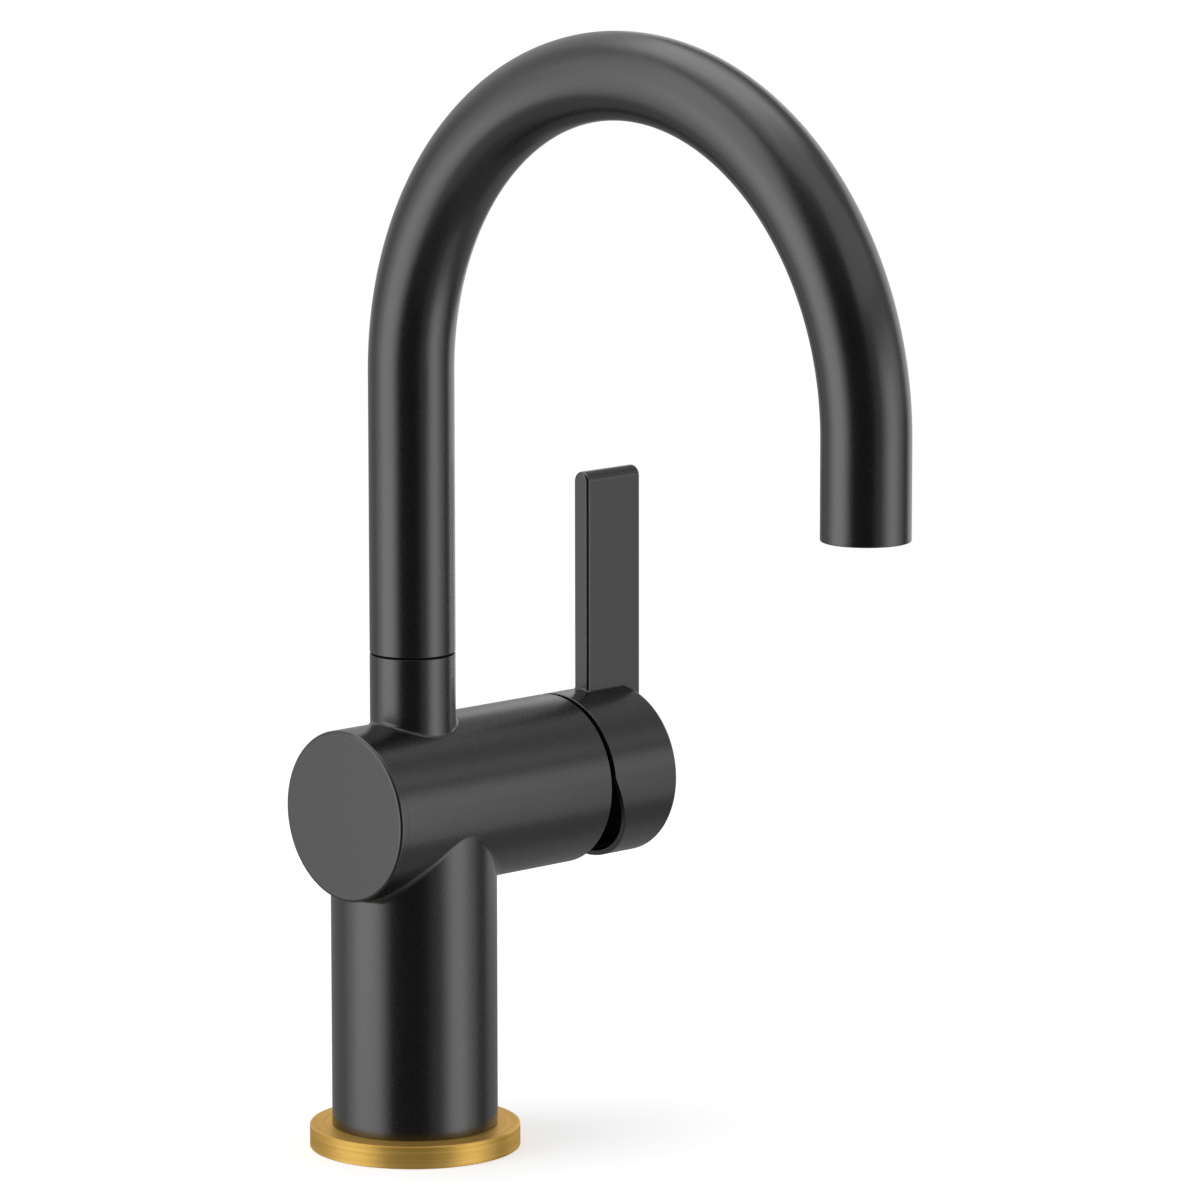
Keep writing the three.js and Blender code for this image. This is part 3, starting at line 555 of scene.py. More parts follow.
def dome_cover():
    """A flange on the nut and a zone of a sphere about the pin, open round the stem."""
    shell = Shell()
    back, front, mouth = DOME_LOW[0], DOME_LOW[0] + FLANGE, DOME_HIGH[0]
    inner = DOME_R - DOME_WALL
    centre = (0, PIVOT_X)
    foot = math.asin((front - PIVOT_X) / DOME_R)
    lip = math.asin((mouth - PIVOT_X) / DOME_R)
    inner_foot = math.asin((back - PIVOT_X) / inner)
    flange = profile(
        (inner * math.cos(inner_foot), back, 0), (DOME_HIGH[1], back, FINE_EDGE),
        (DOME_HIGH[1], front, FINE_EDGE), (DOME_R * math.cos(foot), front, 0),
    )
    rim = profile(
        (DOME_R * math.cos(lip), mouth, 0),
        (inner * math.cos(lip), PIVOT_X + inner * math.sin(lip), 0),
    )
    outside = arc(centre, DOME_R, foot, lip, DOME_STEPS)
    hollow = [
        (spot, (-normal[0], -normal[1]))
        for spot, normal in arc(centre, inner, lip, inner_foot, DOME_STEPS)
    ]
    turn_up(shell, [*flange, outside, *rim, hollow], along_hub, angles(CAP_SIDES))
    return shell.made("dome_cover_spun")


RISER = ARCH_Z - TUBE_LOW[2]
ARCH_LENGTH = math.pi * ARCH_R
DROP = ARCH_Z - OUTLET_Z
TUBE_LENGTH = RISER + ARCH_LENGTH + DROP


def along_spout(angle, spot, normal):
    """Places a turned point on the spout's centreline, with its height as the way along it."""
    way = spot[1]
    bend = min(max((way - RISER) / ARCH_R, 0), math.pi)
    below = min(way - RISER, 0) - max(way - RISER - ARCH_LENGTH, 0)
    centre_y = -ARCH_R * (1 - math.cos(bend))
    centre_z = ARCH_Z + ARCH_R * math.sin(bend) + below
    c, s = math.cos(angle), math.sin(angle)
    inward = (math.cos(bend), math.sin(bend))
    ahead = (-math.sin(bend), math.cos(bend))
    point = (spot[0] * c, centre_y + spot[0] * s * inward[0], centre_z + spot[0] * s * inward[1])
    facing = (
        normal[0] * c,
        normal[0] * s * inward[0] + normal[1] * ahead[0],
        normal[0] * s * inward[1] + normal[1] * ahead[1],
    )
    return point, facing


def gooseneck():
    """The bent tube. Its walls have a station at every step of the arch."""
    shell = Shell()
    strips = profile(
        (TUBE_BORE_R, RISER, 0), (TUBE_BORE_R, 0, FINE_EDGE), (TUBE_R, 0, EDGE),
        (TUBE_R, TUBE_LENGTH, OUTLET_EDGE), (TUBE_BORE_R, TUBE_LENGTH, OUTLET_EDGE),
        (TUBE_BORE_R, RISER, 0),
    )
    stations = [RISER + way for way in between(0, ARCH_LENGTH, ARCH_STEPS)]
    for strip in strips:
        (first, normal), (last, _) = strip[0], strip[-1]
        if abs(last[1] - first[1]) > ARCH_LENGTH:
            middle = [((first[0], way), normal) for way in stations if first != (first[0], way)]
            strip[1:-1] = middle if last[1] > first[1] else middle[::-1]
    turn_up(shell, strips, along_spout, angles(TUBE_SIDES))
    return shell.made("spout_gooseneck")


def outlet_sleeve():
    """The sleeve in the tube's mouth, with the shoulder that the washer seats on."""
    shell = Shell()
    outer, low, high = SLEEVE_HIGH[0], SLEEVE_LOW[2], SLEEVE_HIGH[2]
    bore = outer - SLEEVE_WALL
    seat, shoulder = bore - SHOULDER_WIDTH, high - SHOULDER_HEIGHT
    strips = profile(
        (bore, shoulder, 0), (bore, low, FINE_EDGE), (outer, low, FINE_EDGE),
        (outer, high, FINE_EDGE), (seat, high, FINE_EDGE), (seat, shoulder, FINE_EDGE),
        (bore, shoulder, 0),
    )
    turn_up(shell, strips, upright(0, OUTLET_Y), angles(TUBE_SIDES))
    return shell.made("outlet_sleeve_turned")


def aerator_housing():
    shell = Shell()
    outer, low, high = AERATOR_HIGH[0], AERATOR_LOW[2], AERATOR_HIGH[2]
    bore = outer - AERATOR_WALL
    lip = bore - AERATOR_LIP
    seat = low + LIP_THICKNESS
    strips = profile(
        (lip, (low + seat) / 2, 0), (lip, low, EDGE), (outer, low, EDGE), (outer, high, FINE_EDGE),
        (bore, high, FINE_EDGE), (bore, seat, 0), (lip, seat, EDGE), (lip, (low + seat) / 2, 0),
    )
    turn_up(shell, strips, upright(0, OUTLET_Y), angles(TUBE_SIDES))
    return shell.made("aerator_housing_moulded")


def aerator_insert():
    """The perforated plate: a hole in the middle and rings of six, twelve and so on round it."""
    shell = Shell()
    radius, low, high = INSERT_HIGH[0], INSERT_LOW[2], INSERT_HIGH[2]
    spots = [(0.0, 0.0)]
    for ring in range(1, HOLE_RINGS + 1):
        for angle in angles(6 * ring):
            spots.append((ring * HOLE_PITCH * math.cos(angle), ring * HOLE_PITCH * math.sin(angle)))
    holes = []
    wall = [((HOLE_R, low), (-1, 0)), ((HOLE_R, high), (-1, 0))]
    for x, y in spots:
        turn_up(shell, [wall], upright(x, OUTLET_Y + y), angles(HOLE_SIDES))
        holes.append(circle(x, OUTLET_Y + y, HOLE_R, HOLE_SIDES))
    rim = circle(0, OUTLET_Y, radius, TUBE_SIDES)
    side = [((radius, low), (1, 0)), ((radius, high), (1, 0))]
    turn_up(shell, [side], upright(0, OUTLET_Y), angles(TUBE_SIDES))
    patch(shell, flat_surface(low, -1), rim, holes)
    patch(shell, flat_surface(high, 1), rim, holes)
    return shell.made("aerator_insert_moulded")


def relief(radius, angle):
    """Where the handle's cap starts along the hub: a flat rim above, and a slant below."""
    return CAP_START + max(0.0, RELIEF_RISE - radius * math.sin(angle)) * RELIEF_SLOPE


def rim_normal(radius, angle):
    """The rim's own normal: along the hub above, square to the slant below."""
    slant = RELIEF_SLOPE if radius * math.sin(angle) < RELIEF_RISE else 0.0
    length = math.hypot(1, slant)
    return -1 / length, 0.0, -slant / length


def rim_row(angle):
    """Across the cap's rim, from its outer side to its mouth, with both edges rounded."""
    radial = np.array((0.0, math.cos(angle), math.sin(angle)))
    row = []
    for radius, inward in ((CAP_R, 1), (MOUTH_R, -1)):
        flat = np.array(rim_normal(radius, angle))
        bend = []
        for share in between(0, math.pi / 2, ROUND_STEPS):
            reach = radius - inward * EDGE * (1 - math.cos(share))
            x = relief(reach, angle) + EDGE * (1 - math.sin(share))
            normal = math.cos(share) * inward * radial + math.sin(share) * flat
            point = (x, reach * radial[1], HUB_Z + reach * radial[2])
            bend.append((point, tuple(normal / np.linalg.norm(normal))))
        row += bend if inward > 0 else bend[::-1]
    return row


def lever_root(side):
    """Rows of the fillet between lever and cap on one side, from the lever's left edge, over the
    cap's rounded end and down its flat end to the lever's foot. Each row starts on the lever."""
    rows = []
    corner_y = LEVER_HALF - LEVER_ROUND
    section = [(LEVER_START, y, -1.0, 0.0) for y in between(0, corner_y, LEVER_FACE_STEPS)]
    for angle in between(math.pi, math.pi / 2, LEVER_STEPS)[1:]:
        nx, ny = math.cos(angle), math.sin(angle)
        x, y = LEVER_START + LEVER_ROUND + LEVER_ROUND * nx, corner_y + LEVER_ROUND * ny
        section.append((x, y, nx, ny))
    round_start = CAP_END - CAP_ROUND
    section.append((round_start, LEVER_HALF, 0.0, 1.0))
    for x, y, nx, ny in section:
        rows.append(on_hub(x, side * y, nx, side * ny, LEVER_ROOT, 1))
    across = side * (LEVER_HALF + LEVER_ROOT)
    to_lever = (0, -side, 0)
    for tilt in between(0, math.pi / 2, LEVER_STEPS)[1:]:
        reach = CAP_R - CAP_ROUND + (CAP_ROUND + LEVER_ROOT) * math.cos(tilt)
        x = round_start + (CAP_ROUND + LEVER_ROOT) * math.sin(tilt)
        rise = math.sqrt(reach ** 2 - across ** 2)
        to_cap = (-math.sin(tilt), -math.cos(tilt) * across / reach, -math.cos(tilt) * rise / reach)
        rows.append(rolled((x, across, HUB_Z + rise), to_lever, to_cap, LEVER_ROOT))
    x = CAP_END + LEVER_ROOT
    for angle in between(0, math.pi / 2, HALF_TURN_STEPS // 2):
        c, s = math.cos(angle), math.sin(angle)
        centre = (x, across * c, HUB_Z + LEVER_FOOT - (LEVER_HALF + LEVER_ROOT) * s)
        rows.append(rolled(centre, (0, -side * c, s), (-1, 0, 0), LEVER_ROOT))
    return rows


# Rows of the root before it runs down the flat end
ROOT_ROWS_BEFORE_END = (LEVER_FACE_STEPS + 1) + LEVER_STEPS + 1 + LEVER_STEPS


def half_turn(shell, section, height, way):
    """The lever's round top (way 1) or foot (way -1): its section turned over from side to side."""
    rows = []
    for x, y, nx, ny in section:
        row = []
        for angle in between(0, math.pi, HALF_TURN_STEPS):
            c, s = math.cos(angle), way * math.sin(angle)
            row.append(((x, y * c, HUB_Z + height + y * s), (nx, ny * c, ny * s)))
        rows.append(row)
    shell.grid(rows)


def lever(shell, roots):
    """The flat lever above its root, and the part of it that stands out past the cap's end."""
    front = CAP_END + LEVER_ROOT
    corner_x, corner_y = LEVER_END - LEVER_ROUND, LEVER_HALF - LEVER_ROUND
    overhang = [(front, LEVER_HALF, 0.0, 1.0), (corner_x, LEVER_HALF, 0.0, 1.0)]
    for angle in between(math.pi / 2, 0, LEVER_STEPS)[1:]:
        nx, ny = math.cos(angle), math.sin(angle)
        overhang.append((corner_x + LEVER_ROUND * nx, corner_y + LEVER_ROUND * ny, nx, ny))
    overhang.append((LEVER_END, corner_y, 1.0, 0.0))
    overhang.append((LEVER_END, 0.0, 1.0, 0.0))
    top = HUB_Z + LEVER_TOP
    for side, rows in roots.items():
        standing = [row[0] for row in rows[:ROOT_ROWS_BEFORE_END]]
        shell.grid([[((x, y, z), n), ((x, y, top), n)] for (x, y, z), n in standing])
        shoulder = standing[-1][0][2]
        levels = [HUB_Z + LEVER_FOOT, shoulder, top]
        shell.grid([
            [((x, side * y, z), (nx, side * ny, 0)) for z in levels] for x, y, nx, ny in overhang
        ])
    standing = [row[0] for row in roots[1][:ROOT_ROWS_BEFORE_END]]
    section = [(point[0], point[1], normal[0], normal[1]) for point, normal in standing] + overhang
    half_turn(shell, section, LEVER_TOP, 1)
    half_turn(shell, overhang, LEVER_FOOT, -1)


def screw_loop(radius):
    """The grub screw's hole where it opens in a cylinder round the hub, as points in space."""
    points = []
    for angle in angles(HOLE_SIDES):
        across = SCREW_HOLE_R * math.cos(angle)
        drop = math.sqrt(radius ** 2 - across ** 2)
        points.append((SCREW_X + SCREW_HOLE_R * math.sin(angle), across, HUB_Z - drop))
    return points


def screw_wall(shell, outer, inner):
    rows = []
    for angle, first, last in zip(angles(HOLE_SIDES), outer, inner):
        normal = (-math.sin(angle), -math.cos(angle), 0)
        rows.append([(first, normal), (last, normal)])
    shell.grid(rows, closed=True)


def cap_skin(shell, roots):
    """The cap's outer side, trimmed to the rim, the lever's root and the grub screw's hole."""
    seam = math.pi / 2
    around = between(seam, seam + TURN, CAP_SIDES)
    start = [(CAP_R * angle, relief(CAP_R, angle) + EDGE) for angle in around]
    on_skin = ROOT_ROWS_BEFORE_END - LEVER_STEPS
    past = flat_spots(ends(roots[1][1:on_skin]), CAP_R)
    before = flat_spots(ends(roots[-1][1:on_skin]), CAP_R)
    touch = roots[1][0][-1][0][0]
    end = [(CAP_R * angle, CAP_END - CAP_ROUND) for angle in end_angles(roots, on_skin - 1)]
    outline = [
        *start, (CAP_R * (seam + TURN), touch), *past, *reversed(end[1:-1]),
        *reversed(before), (CAP_R * seam, touch),
    ]
    hole = screw_loop(CAP_R)
    patch(shell, hub_skin(CAP_R), outline, [flat_spots(hole, CAP_R)], SKIN_STEP)
    return hole


def end_angles(roots, row):
    """Angles round the cap's end from one side of the lever's root to the other."""
    gap = math.pi / 2 - around_hub(roots[1][row][-1][0])
    return between(math.pi / 2 + gap, math.pi / 2 + TURN - gap, CAP_SIDES)


def cap_end(shell, roots):
    """The rounded edge and the flat of the cap's end, both open where the lever's root crosses."""
    rows = []
    first = ROOT_ROWS_BEFORE_END - LEVER_STEPS - 1
    for k, tilt in enumerate(between(0, math.pi / 2, LEVER_STEPS)):
        normal = (math.cos(tilt), math.sin(tilt))
        spot = (
            CAP_R - CAP_ROUND + CAP_ROUND * normal[0],
            CAP_END - CAP_ROUND + CAP_ROUND * normal[1],
        )
        rows.append([along_hub(angle, spot, normal) for angle in end_angles(roots, first + k)])
    shell.grid(rows)
    outline = [point for point, _ in rows[-1]]
    down = ends(roots[1][ROOT_ROWS_BEFORE_END:])
    up = ends(reversed(roots[-1][ROOT_ROWS_BEFORE_END:-1]))
    shell.face([(point, (1, 0, 0)) for point in [*outline, *down, *up]])


def square_reach(angle):
    return SOCKET_HALF / max(abs(math.cos(angle)), abs(math.sin(angle)))


def cap_inside(shell, skin_hole):
    """The mouth, the cavity and the boss in it with the socket for the stem's adapter."""
    seam = math.pi / 2
    around = between(seam, seam + TURN, CAP_SIDES)
    floor = CAP_END - CAP_END_WALL
    cavity_hole, boss_hole = screw_loop(CAVITY_R), screw_loop(BOSS_R)
    start = [(CAVITY_R * angle, MOUTH_END) for angle in around]
    end = [(CAVITY_R * angle, floor) for angle in reversed(around)]
    shell.grid([rim_row(angle) for angle in around[:-1]], closed=True)
    # From here on the cap's inside takes the second look, the black with painted shade for the
    # cavity
    shell.look = 1
    holes = [flat_spots(cavity_hole, CAVITY_R)]
    patch(shell, hub_skin(CAVITY_R, -1), [*start, *end], holes, SKIN_STEP)
    mouth = []
    for angle in around[:-1]:
        spots = ((MOUTH_R, relief(MOUTH_R, angle) + EDGE), (MOUTH_R, MOUTH_END))
        mouth.append([along_hub(angle, spot, (-1, 0)) for spot in spots])
    shell.grid(mouth, closed=True)
    for outer, inner, x in ((MOUTH_R, CAVITY_R, MOUTH_END), (CAVITY_R, BOSS_R, floor)):
        turn_up(shell, [[((outer, x), (0, -1)), ((inner, x), (0, -1))]], along_hub, around[:-1])
    near = [(BOSS_R * angle, BOSS_START) for angle in around]
    far = [(BOSS_R * angle, floor) for angle in reversed(around)]
    holes = [flat_spots(boss_hole, BOSS_R)]
    patch(shell, hub_skin(BOSS_R), [*near, *far], holes, SKIN_STEP)
    face = []
    for angle in around[:-1]:
        spots = ((BOSS_R, BOSS_START), (square_reach(angle), BOSS_START))
        face.append([along_hub(angle, spot, (0, -1)) for spot in spots])
    shell.grid(face, closed=True)
    screw_wall(shell, skin_hole, cavity_hole)
    socket_hole = [(x, y, HUB_Z - SOCKET_HALF) for x, y, _ in boss_hole]
    screw_wall(shell, boss_hole, socket_hole)
    socket(shell, around, socket_hole)


def socket(shell, around, hole):
    """The square socket's four walls, the lowest with the grub screw's hole, and its floor."""
    mouth = [along_hub(angle, (square_reach(angle), BOSS_START), (0, 0))[0] for angle in around]
    floor = [(SOCKET_END, y, z) for _, y, z in mouth]
    shell.face([(point, (-1, 0, 0)) for point in floor[:-1]])
    eighth = CAP_SIDES // 8
    for quarter in range(4):
        facing = (1 + quarter) * math.pi / 2
        normal = (0, -math.cos(facing), -math.sin(facing))
        indices = [(quarter * 2 * eighth + k) % CAP_SIDES for k in range(-eighth, eighth + 1)]
        near, far = [mouth[i] for i in indices], [floor[i] for i in indices]
        if quarter == 2:
            outline = [(p[0], p[1]) for p in near] + [(p[0], p[1]) for p in reversed(far)]
            loop = [(p[0], p[1]) for p in hole]
            patch(shell, flat_surface(HUB_Z - SOCKET_HALF, 1), outline, [loop])
        else:
            shell.grid([[(a, normal), (b, normal)] for a, b in zip(near, far)])


def handle():
    """Cap and lever in one casting, with a fillet where they meet."""
    shell = Shell()
    roots = {side: lever_root(side) for side in (1, -1)}
    for rows in roots.values():
        shell.grid(rows)
    lever(shell, roots)
    skin_hole = cap_skin(shell, roots)
    cap_end(shell, roots)
    cap_inside(shell, skin_hole)
    return shell.made("handle_casting")


# Finishes

BRUSHING_STRETCH = 40.0
BRUSHING_ROTATION = 0.25  # of a turn
BUMP_DEPTH = 0.00005  # metres
NOISE_DETAIL = 3.0
NOISE_LOW, NOISE_HIGH = 0.3, 0.7  # where most of a noise lies
MIX_FACTOR, MIX_DARK, MIX_LIGHT, MIX_RESULT = 0, 6, 7, 2  # the Mix node's sockets for colours


def node_material(name):
    material = bpy.data.materials.new(name)
    material.use_nodes = True
    return material, material.node_tree


def noise(tree, place, scale):
    node = tree.nodes.new("ShaderNodeTexNoise")
    node.inputs["Scale"].default_value = scale
    node.inputs["Detail"].default_value = NOISE_DETAIL
    tree.links.new(place, node.inputs["Vector"])
    return node.outputs["Fac"]


def spread(tree, value, low, high):
    """Stretches the middle of a noise over a range."""
    node = tree.nodes.new("ShaderNodeMapRange")
    node.inputs["From Min"].default_value = NOISE_LOW
    node.inputs["From Max"].default_value = NOISE_HIGH
    node.inputs["To Min"].default_value = low
    node.inputs["To Max"].default_value = high
    tree.links.new(value, node.inputs["Value"])
    return node.outputs["Result"]


def blended(tree, value, dark, light):
    node = tree.nodes.new("ShaderNodeMix")
    node.data_type = "RGBA"
    node.inputs[MIX_DARK].default_value = (*dark, 1)
    node.inputs[MIX_LIGHT].default_value = (*light, 1)
    tree.links.new(spread(tree, value, 0, 1), node.inputs[MIX_FACTOR])
    return node.outputs[MIX_RESULT]


def brushed_place(tree, place):
    """Coordinates that hardly change round the ring and change fast across its brushing."""
    link, new = tree.links.new, tree.nodes.new
    flat, length, stretched = (new("ShaderNodeVectorMath") for _ in range(3))
    split, joined = new("ShaderNodeSeparateXYZ"), new("ShaderNodeCombineXYZ")
    across = new("ShaderNodeMath")
    flat.operation = stretched.operation = "MULTIPLY"
    flat.inputs[1].default_value = (1, 1, 0)
    stretched.inputs[1].default_value = (1, 1, BRUSHING_STRETCH)
    length.operation = "LENGTH"
    across.operation = "SUBTRACT"
    link(place, flat.inputs[0])
    link(flat.outputs["Vector"], length.inputs[0])
    link(place, split.inputs["Vector"])
    link(length.outputs["Value"], across.inputs[0])
    link(split.outputs["Z"], across.inputs[1])
    link(split.outputs["X"], joined.inputs["X"])
    link(split.outputs["Y"], joined.inputs["Y"])
    link(across.outputs["Value"], joined.inputs["Z"])
    link(joined.outputs["Vector"], stretched.inputs[0])
    return stretched.outputs["Vector"]


def finish(
    name, dark, light, rough, mottle=60.0, grain=900.0, bump=0.05, metallic=0.0, ior=1.5,
    brushed=0.0, gloss=0.5, tint=(1.0, 1.0, 1.0),
):
    """A surface whose colour, roughness and fine relief all vary. Mottle and grain are per metre,
    and gloss is the shader's specular level."""
    material, tree = node_material(name)
    shader = tree.nodes["Principled BSDF"]
    shader.inputs["Metallic"].default_value = metallic
    shader.inputs["IOR"].default_value = ior
    shader.inputs["Specular IOR Level"].default_value = gloss
    shader.inputs["Specular Tint"].default_value = (*tint, 1)
    place = tree.nodes.new("ShaderNodeTexCoord").outputs["Object"]
    if brushed:
        place = brushed_place(tree, place)
        shader.inputs["Anisotropic"].default_value = brushed
        shader.inputs["Anisotropic Rotation"].default_value = BRUSHING_ROTATION
        tangent = tree.nodes.new("ShaderNodeTangent")
        tangent.direction_type = "RADIAL"
        tangent.axis = "Z"
        tree.links.new(tangent.outputs["Tangent"], shader.inputs["Tangent"])
    broad, fine = noise(tree, place, mottle), noise(tree, place, grain)
    tree.links.new(blended(tree, broad, dark, light), shader.inputs["Base Color"])
    tree.links.new(spread(tree, fine, *rough), shader.inputs["Roughness"])
    relief_node = tree.nodes.new("ShaderNodeBump")
    relief_node.inputs["Strength"].default_value = bump
    relief_node.inputs["Distance"].default_value = BUMP_DEPTH
    tree.links.new(fine, relief_node.inputs["Height"])
    tree.links.new(relief_node.outputs["Normal"], shader.inputs["Normal"])
    return material


FINISHES = {
    "matte_black": finish(
        "satin_black_coating", (0.0042, 0.0042, 0.0046), (0.0060, 0.0060, 0.0064),
        (0.24, 0.28), ior=2.0, bump=0.06),
    "brushed_brass": finish(
        "brushed_brass_ring", (0.74, 0.44, 0.09), (0.91, 0.59, 0.16), (0.32, 0.43),
        mottle=30.0, grain=60.0, bump=0.3, metallic=0.68, brushed=0.4, tint=(1.0, 0.8, 0.5)),
    "plain_brass": finish(
        "turned_brass", (0.52, 0.38, 0.15), (0.62, 0.47, 0.21), (0.24, 0.36), metallic=1.0),
    "steel": finish(
        "turned_steel", (0.52, 0.53, 0.54), (0.62, 0.63, 0.64), (0.24, 0.36), metallic=1.0),
    "ceramic": finish(
        "lapped_ceramic", (0.80, 0.78, 0.74), (0.86, 0.84, 0.80), (0.12, 0.20), bump=0.02),
    "white_plastic": finish(
        "white_moulding", (0.70, 0.70, 0.68), (0.76, 0.76, 0.74), (0.40, 0.50)),
    "black_plastic": finish(
        "black_moulding", (0.016, 0.016, 0.017), (0.022, 0.022, 0.023), (0.42, 0.52)),
    "rubber": finish(
        "black_rubber", (0.014, 0.014, 0.014), (0.020, 0.020, 0.020), (0.60, 0.72), bump=0.15),
}

# Painted shade: a darker, almost unreflective black for the dome cover and the handle's inside in
# the slanted gap, and for the washer in the spout's seam, so that they read as shaded
SHADE_PAINTED_BLACK = finish(
    "painted_shade_black", (0.003, 0.003, 0.003), (0.005, 0.005, 0.005), (0.6, 0.7), gloss=0.05)

# The pieces, each with the CAD node that it stands for

SLOTS = {part["node"]: part["material_slot"] for part in frame["record"]["subparts"]}
BODIES = frame["record"]["behaviour"]["bodies"]


def shown(piece, node, *looks):
    """Stands a piece in its node's place, on the node's body, with its finish or other looks."""
    for look in looks or (FINISHES[SLOTS[node]],):
        piece.data.materials.append(look)
    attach(piece, next(body for body, nodes in BODIES.items() if node in nodes))
    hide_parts(node)


shown(body_casting(), "faucet_body")
shown(end_cap(), "hub_end_cap")
shown(base_ring(), "base_ring")
# The dome cover in the slanted gap is drawn in the black with painted shade
shown(dome_cover(), "dome_cover", SHADE_PAINTED_BLACK)
shown(handle(), "handle", FINISHES["matte_black"], SHADE_PAINTED_BLACK)
shown(gooseneck(), "spout_tube")
shown(outlet_sleeve(), "outlet_sleeve")
shown(aerator_housing(), "aerator_housing")
shown(aerator_insert(), "aerator_insert")
# The glide washer in the spout's seam is drawn in the black with painted shade
shown(
    washer_like(
        "glide_washer_moulded", GLIDE_WASHER_BORE_R, WASHER_HIGH[0], WASHER_LOW[2], WASHER_HIGH[2],
        GLIDE_WASHER_EDGE),
    "spout_glide_washer", SHADE_PAINTED_BLACK)
shown(
    washer_like(
        "deck_gasket_moulded", GASKET_BORE_R, GASKET_HIGH[0], GASKET_LOW[2], GASKET_HIGH[2],
        GASKET_EDGE),
    "base_gasket")

for name, node in frame["nodes"].items():
    node.data.materials.clear()
    node.data.materials.append(FINISHES[SLOTS[name]])


# Camera, at the photograph's viewing angle

CAMERA_PLACE = Vector((-1.4372, -1.5928, 0.5365))
CAMERA_TARGET = Vector((0.0, -0.07907, 0.17210))
CAMERA_ROLL = math.radians(-0.06)
LENS = 225.1
SENSOR = 36.0

TO_CAMERA = (CAMERA_PLACE - CAMERA_TARGET).normalized()
LEVEL_RIGHT = Vector((0, 0, 1)).cross(TO_CAMERA).normalized()
CAMERA_RIGHT = Matrix.Rotation(CAMERA_ROLL, 3, TO_CAMERA) @ LEVEL_RIGHT
CAMERA_AXES = Matrix((CAMERA_RIGHT, TO_CAMERA.cross(CAMERA_RIGHT), TO_CAMERA)).transposed()

camera = placed("camera", bpy.data.cameras.new("camera"))
camera.data.sensor_width = SENSOR
camera.data.lens = LENS
camera.matrix_world = Matrix.Translation(CAMERA_PLACE) @ CAMERA_AXES.to_4x4()
bpy.context.scene.camera = camera

# Light: soft boxes beside the camera and over the object, and cards that only reflections show

TOWARDS_CAMERA = Vector((TO_CAMERA.x, TO_CAMERA.y, 0)).normalized()
TO_THE_RIGHT = Vector((CAMERA_RIGHT.x, CAMERA_RIGHT.y, 0)).normalized()
MIDDLE = Vector((0.0, -0.05, 0.17))
BOX_DISTANCE = 1.2
BOX_STEP = 0.005  # between the lamps of one soft box, towards the object
CARD_DISTANCE = 1.6
CARD_STEP = 6.0
LEVEL_CARD_SIDES = 60
LEVEL_CARD_ELEVATION = 60
CEILING_LEVEL, UNDER_LEVEL = 0.65, 0.15

# Layers of each side box: two bearings, two heights over the object's middle and a radiance
LEFT_BOX = (
    (-106, -36, -0.80, 2.00, 0.38),
    (-94, -42, -0.72, 1.90, 0.40),
    (-91, -49, -0.62, 1.70, 0.40),
    (-84, -54, -0.40, 0.45, 0.25),
)
RIGHT_BOX = (
    (41, 99, -0.80, 0.40, 0.40),
    (46, 86, -1.00, 0.60, 0.42),
    (53, 77, -0.72, 0.25, 0.48),
)

# Lamps of the top box: how far behind the object's middle, size and radiance
TOP_BOX = ((0.5, 1.3, 0.45), (0.45, 0.9, 0.5))

# Cards: two bearings, two elevations and a level
CARDS = (
    (-40, 22, 45, 60, 0.15), (-40, 22, 28, 45, 0.06), (-40, 22, -30, 28, 0.02),
    (-40, 22, -60, -30, 0.08), (22, 45, -60, 28, 0.18), (22, 100, 28, 60, 0.6),
    (45, 84, -35, 28, 0.0), (45, 84, -60, -35, 0.42), (84, 122, 0, 28, 0.3),
    (84, 122, -30, 0, 0.12), (84, 122, -60, -30, 0.2), (122, 180, -60, -14, 0.3),
    (100, 180, 28, 60, 0.25), (-94, -40, -30, 60, 0.0), (-94, -40, -60, -30, 0.3),
    (-136, -94, 15, 60, 0.5), (-136, -94, -20, 15, 0.35), (-136, -94, -60, -20, 0.24),
    (-180, -136, -60, -20, 0.16), (-180, -136, -20, -5, 0.35), (-180, -136, -5, 15, 0.55),
    (-180, -136, 15, 60, 0.65),
)


def bearing(degrees):
    """A level direction from the object, measured from the camera's towards the picture's right."""
    angle = math.radians(degrees)
    return math.cos(angle) * TOWARDS_CAMERA + math.sin(angle) * TO_THE_RIGHT


def lamp(name, place, aim, width, height, radiance):
    """A rectangular area lamp that faces along -aim."""
    light = bpy.data.lights.new(name, "AREA")
    light.shape = "RECTANGLE"
    light.size, light.size_y = width, height
    light.energy = radiance * math.pi * width * height
    box = placed(name, light)
    box.location = place
    box.rotation_euler = aim.to_track_quat("Z", "Y").to_euler()


def side_box(name, layers):
    """An upright soft box with soft edges: lamps one in front of another."""
    for k, (first, last, low, high, radiance) in enumerate(layers):
        way = bearing((first + last) / 2)
        place = MIDDLE + (BOX_DISTANCE - k * BOX_STEP) * way + Vector((0, 0, (low + high) / 2))
        width = 2 * BOX_DISTANCE * math.tan(math.radians(last - first) / 2)
        lamp(f"{name}_{k}", place, way, width, high - low, radiance)


def glow(name, level):
    material, tree = node_material(name)
    tree.nodes.remove(tree.nodes["Principled BSDF"])
    emission = tree.nodes.new("ShaderNodeEmission")
    emission.inputs["Color"].default_value = (1, 1, 1, 1)
    emission.inputs["Strength"].default_value = level
    tree.links.new(emission.outputs["Emission"], tree.nodes["Material Output"].inputs["Surface"])
    return material


def card(name, points, faces, level):
    """A piece of the studio that only reflections show."""
    mesh = bpy.data.meshes.new(name)
    mesh.from_pydata(points, [], faces)
    mesh.materials.append(glow(name, level))
    sheet = placed(name, mesh)
    for ray in ("camera", "diffuse", "transmission", "volume_scatter", "shadow"):
        setattr(sheet, "visible_" + ray, False)


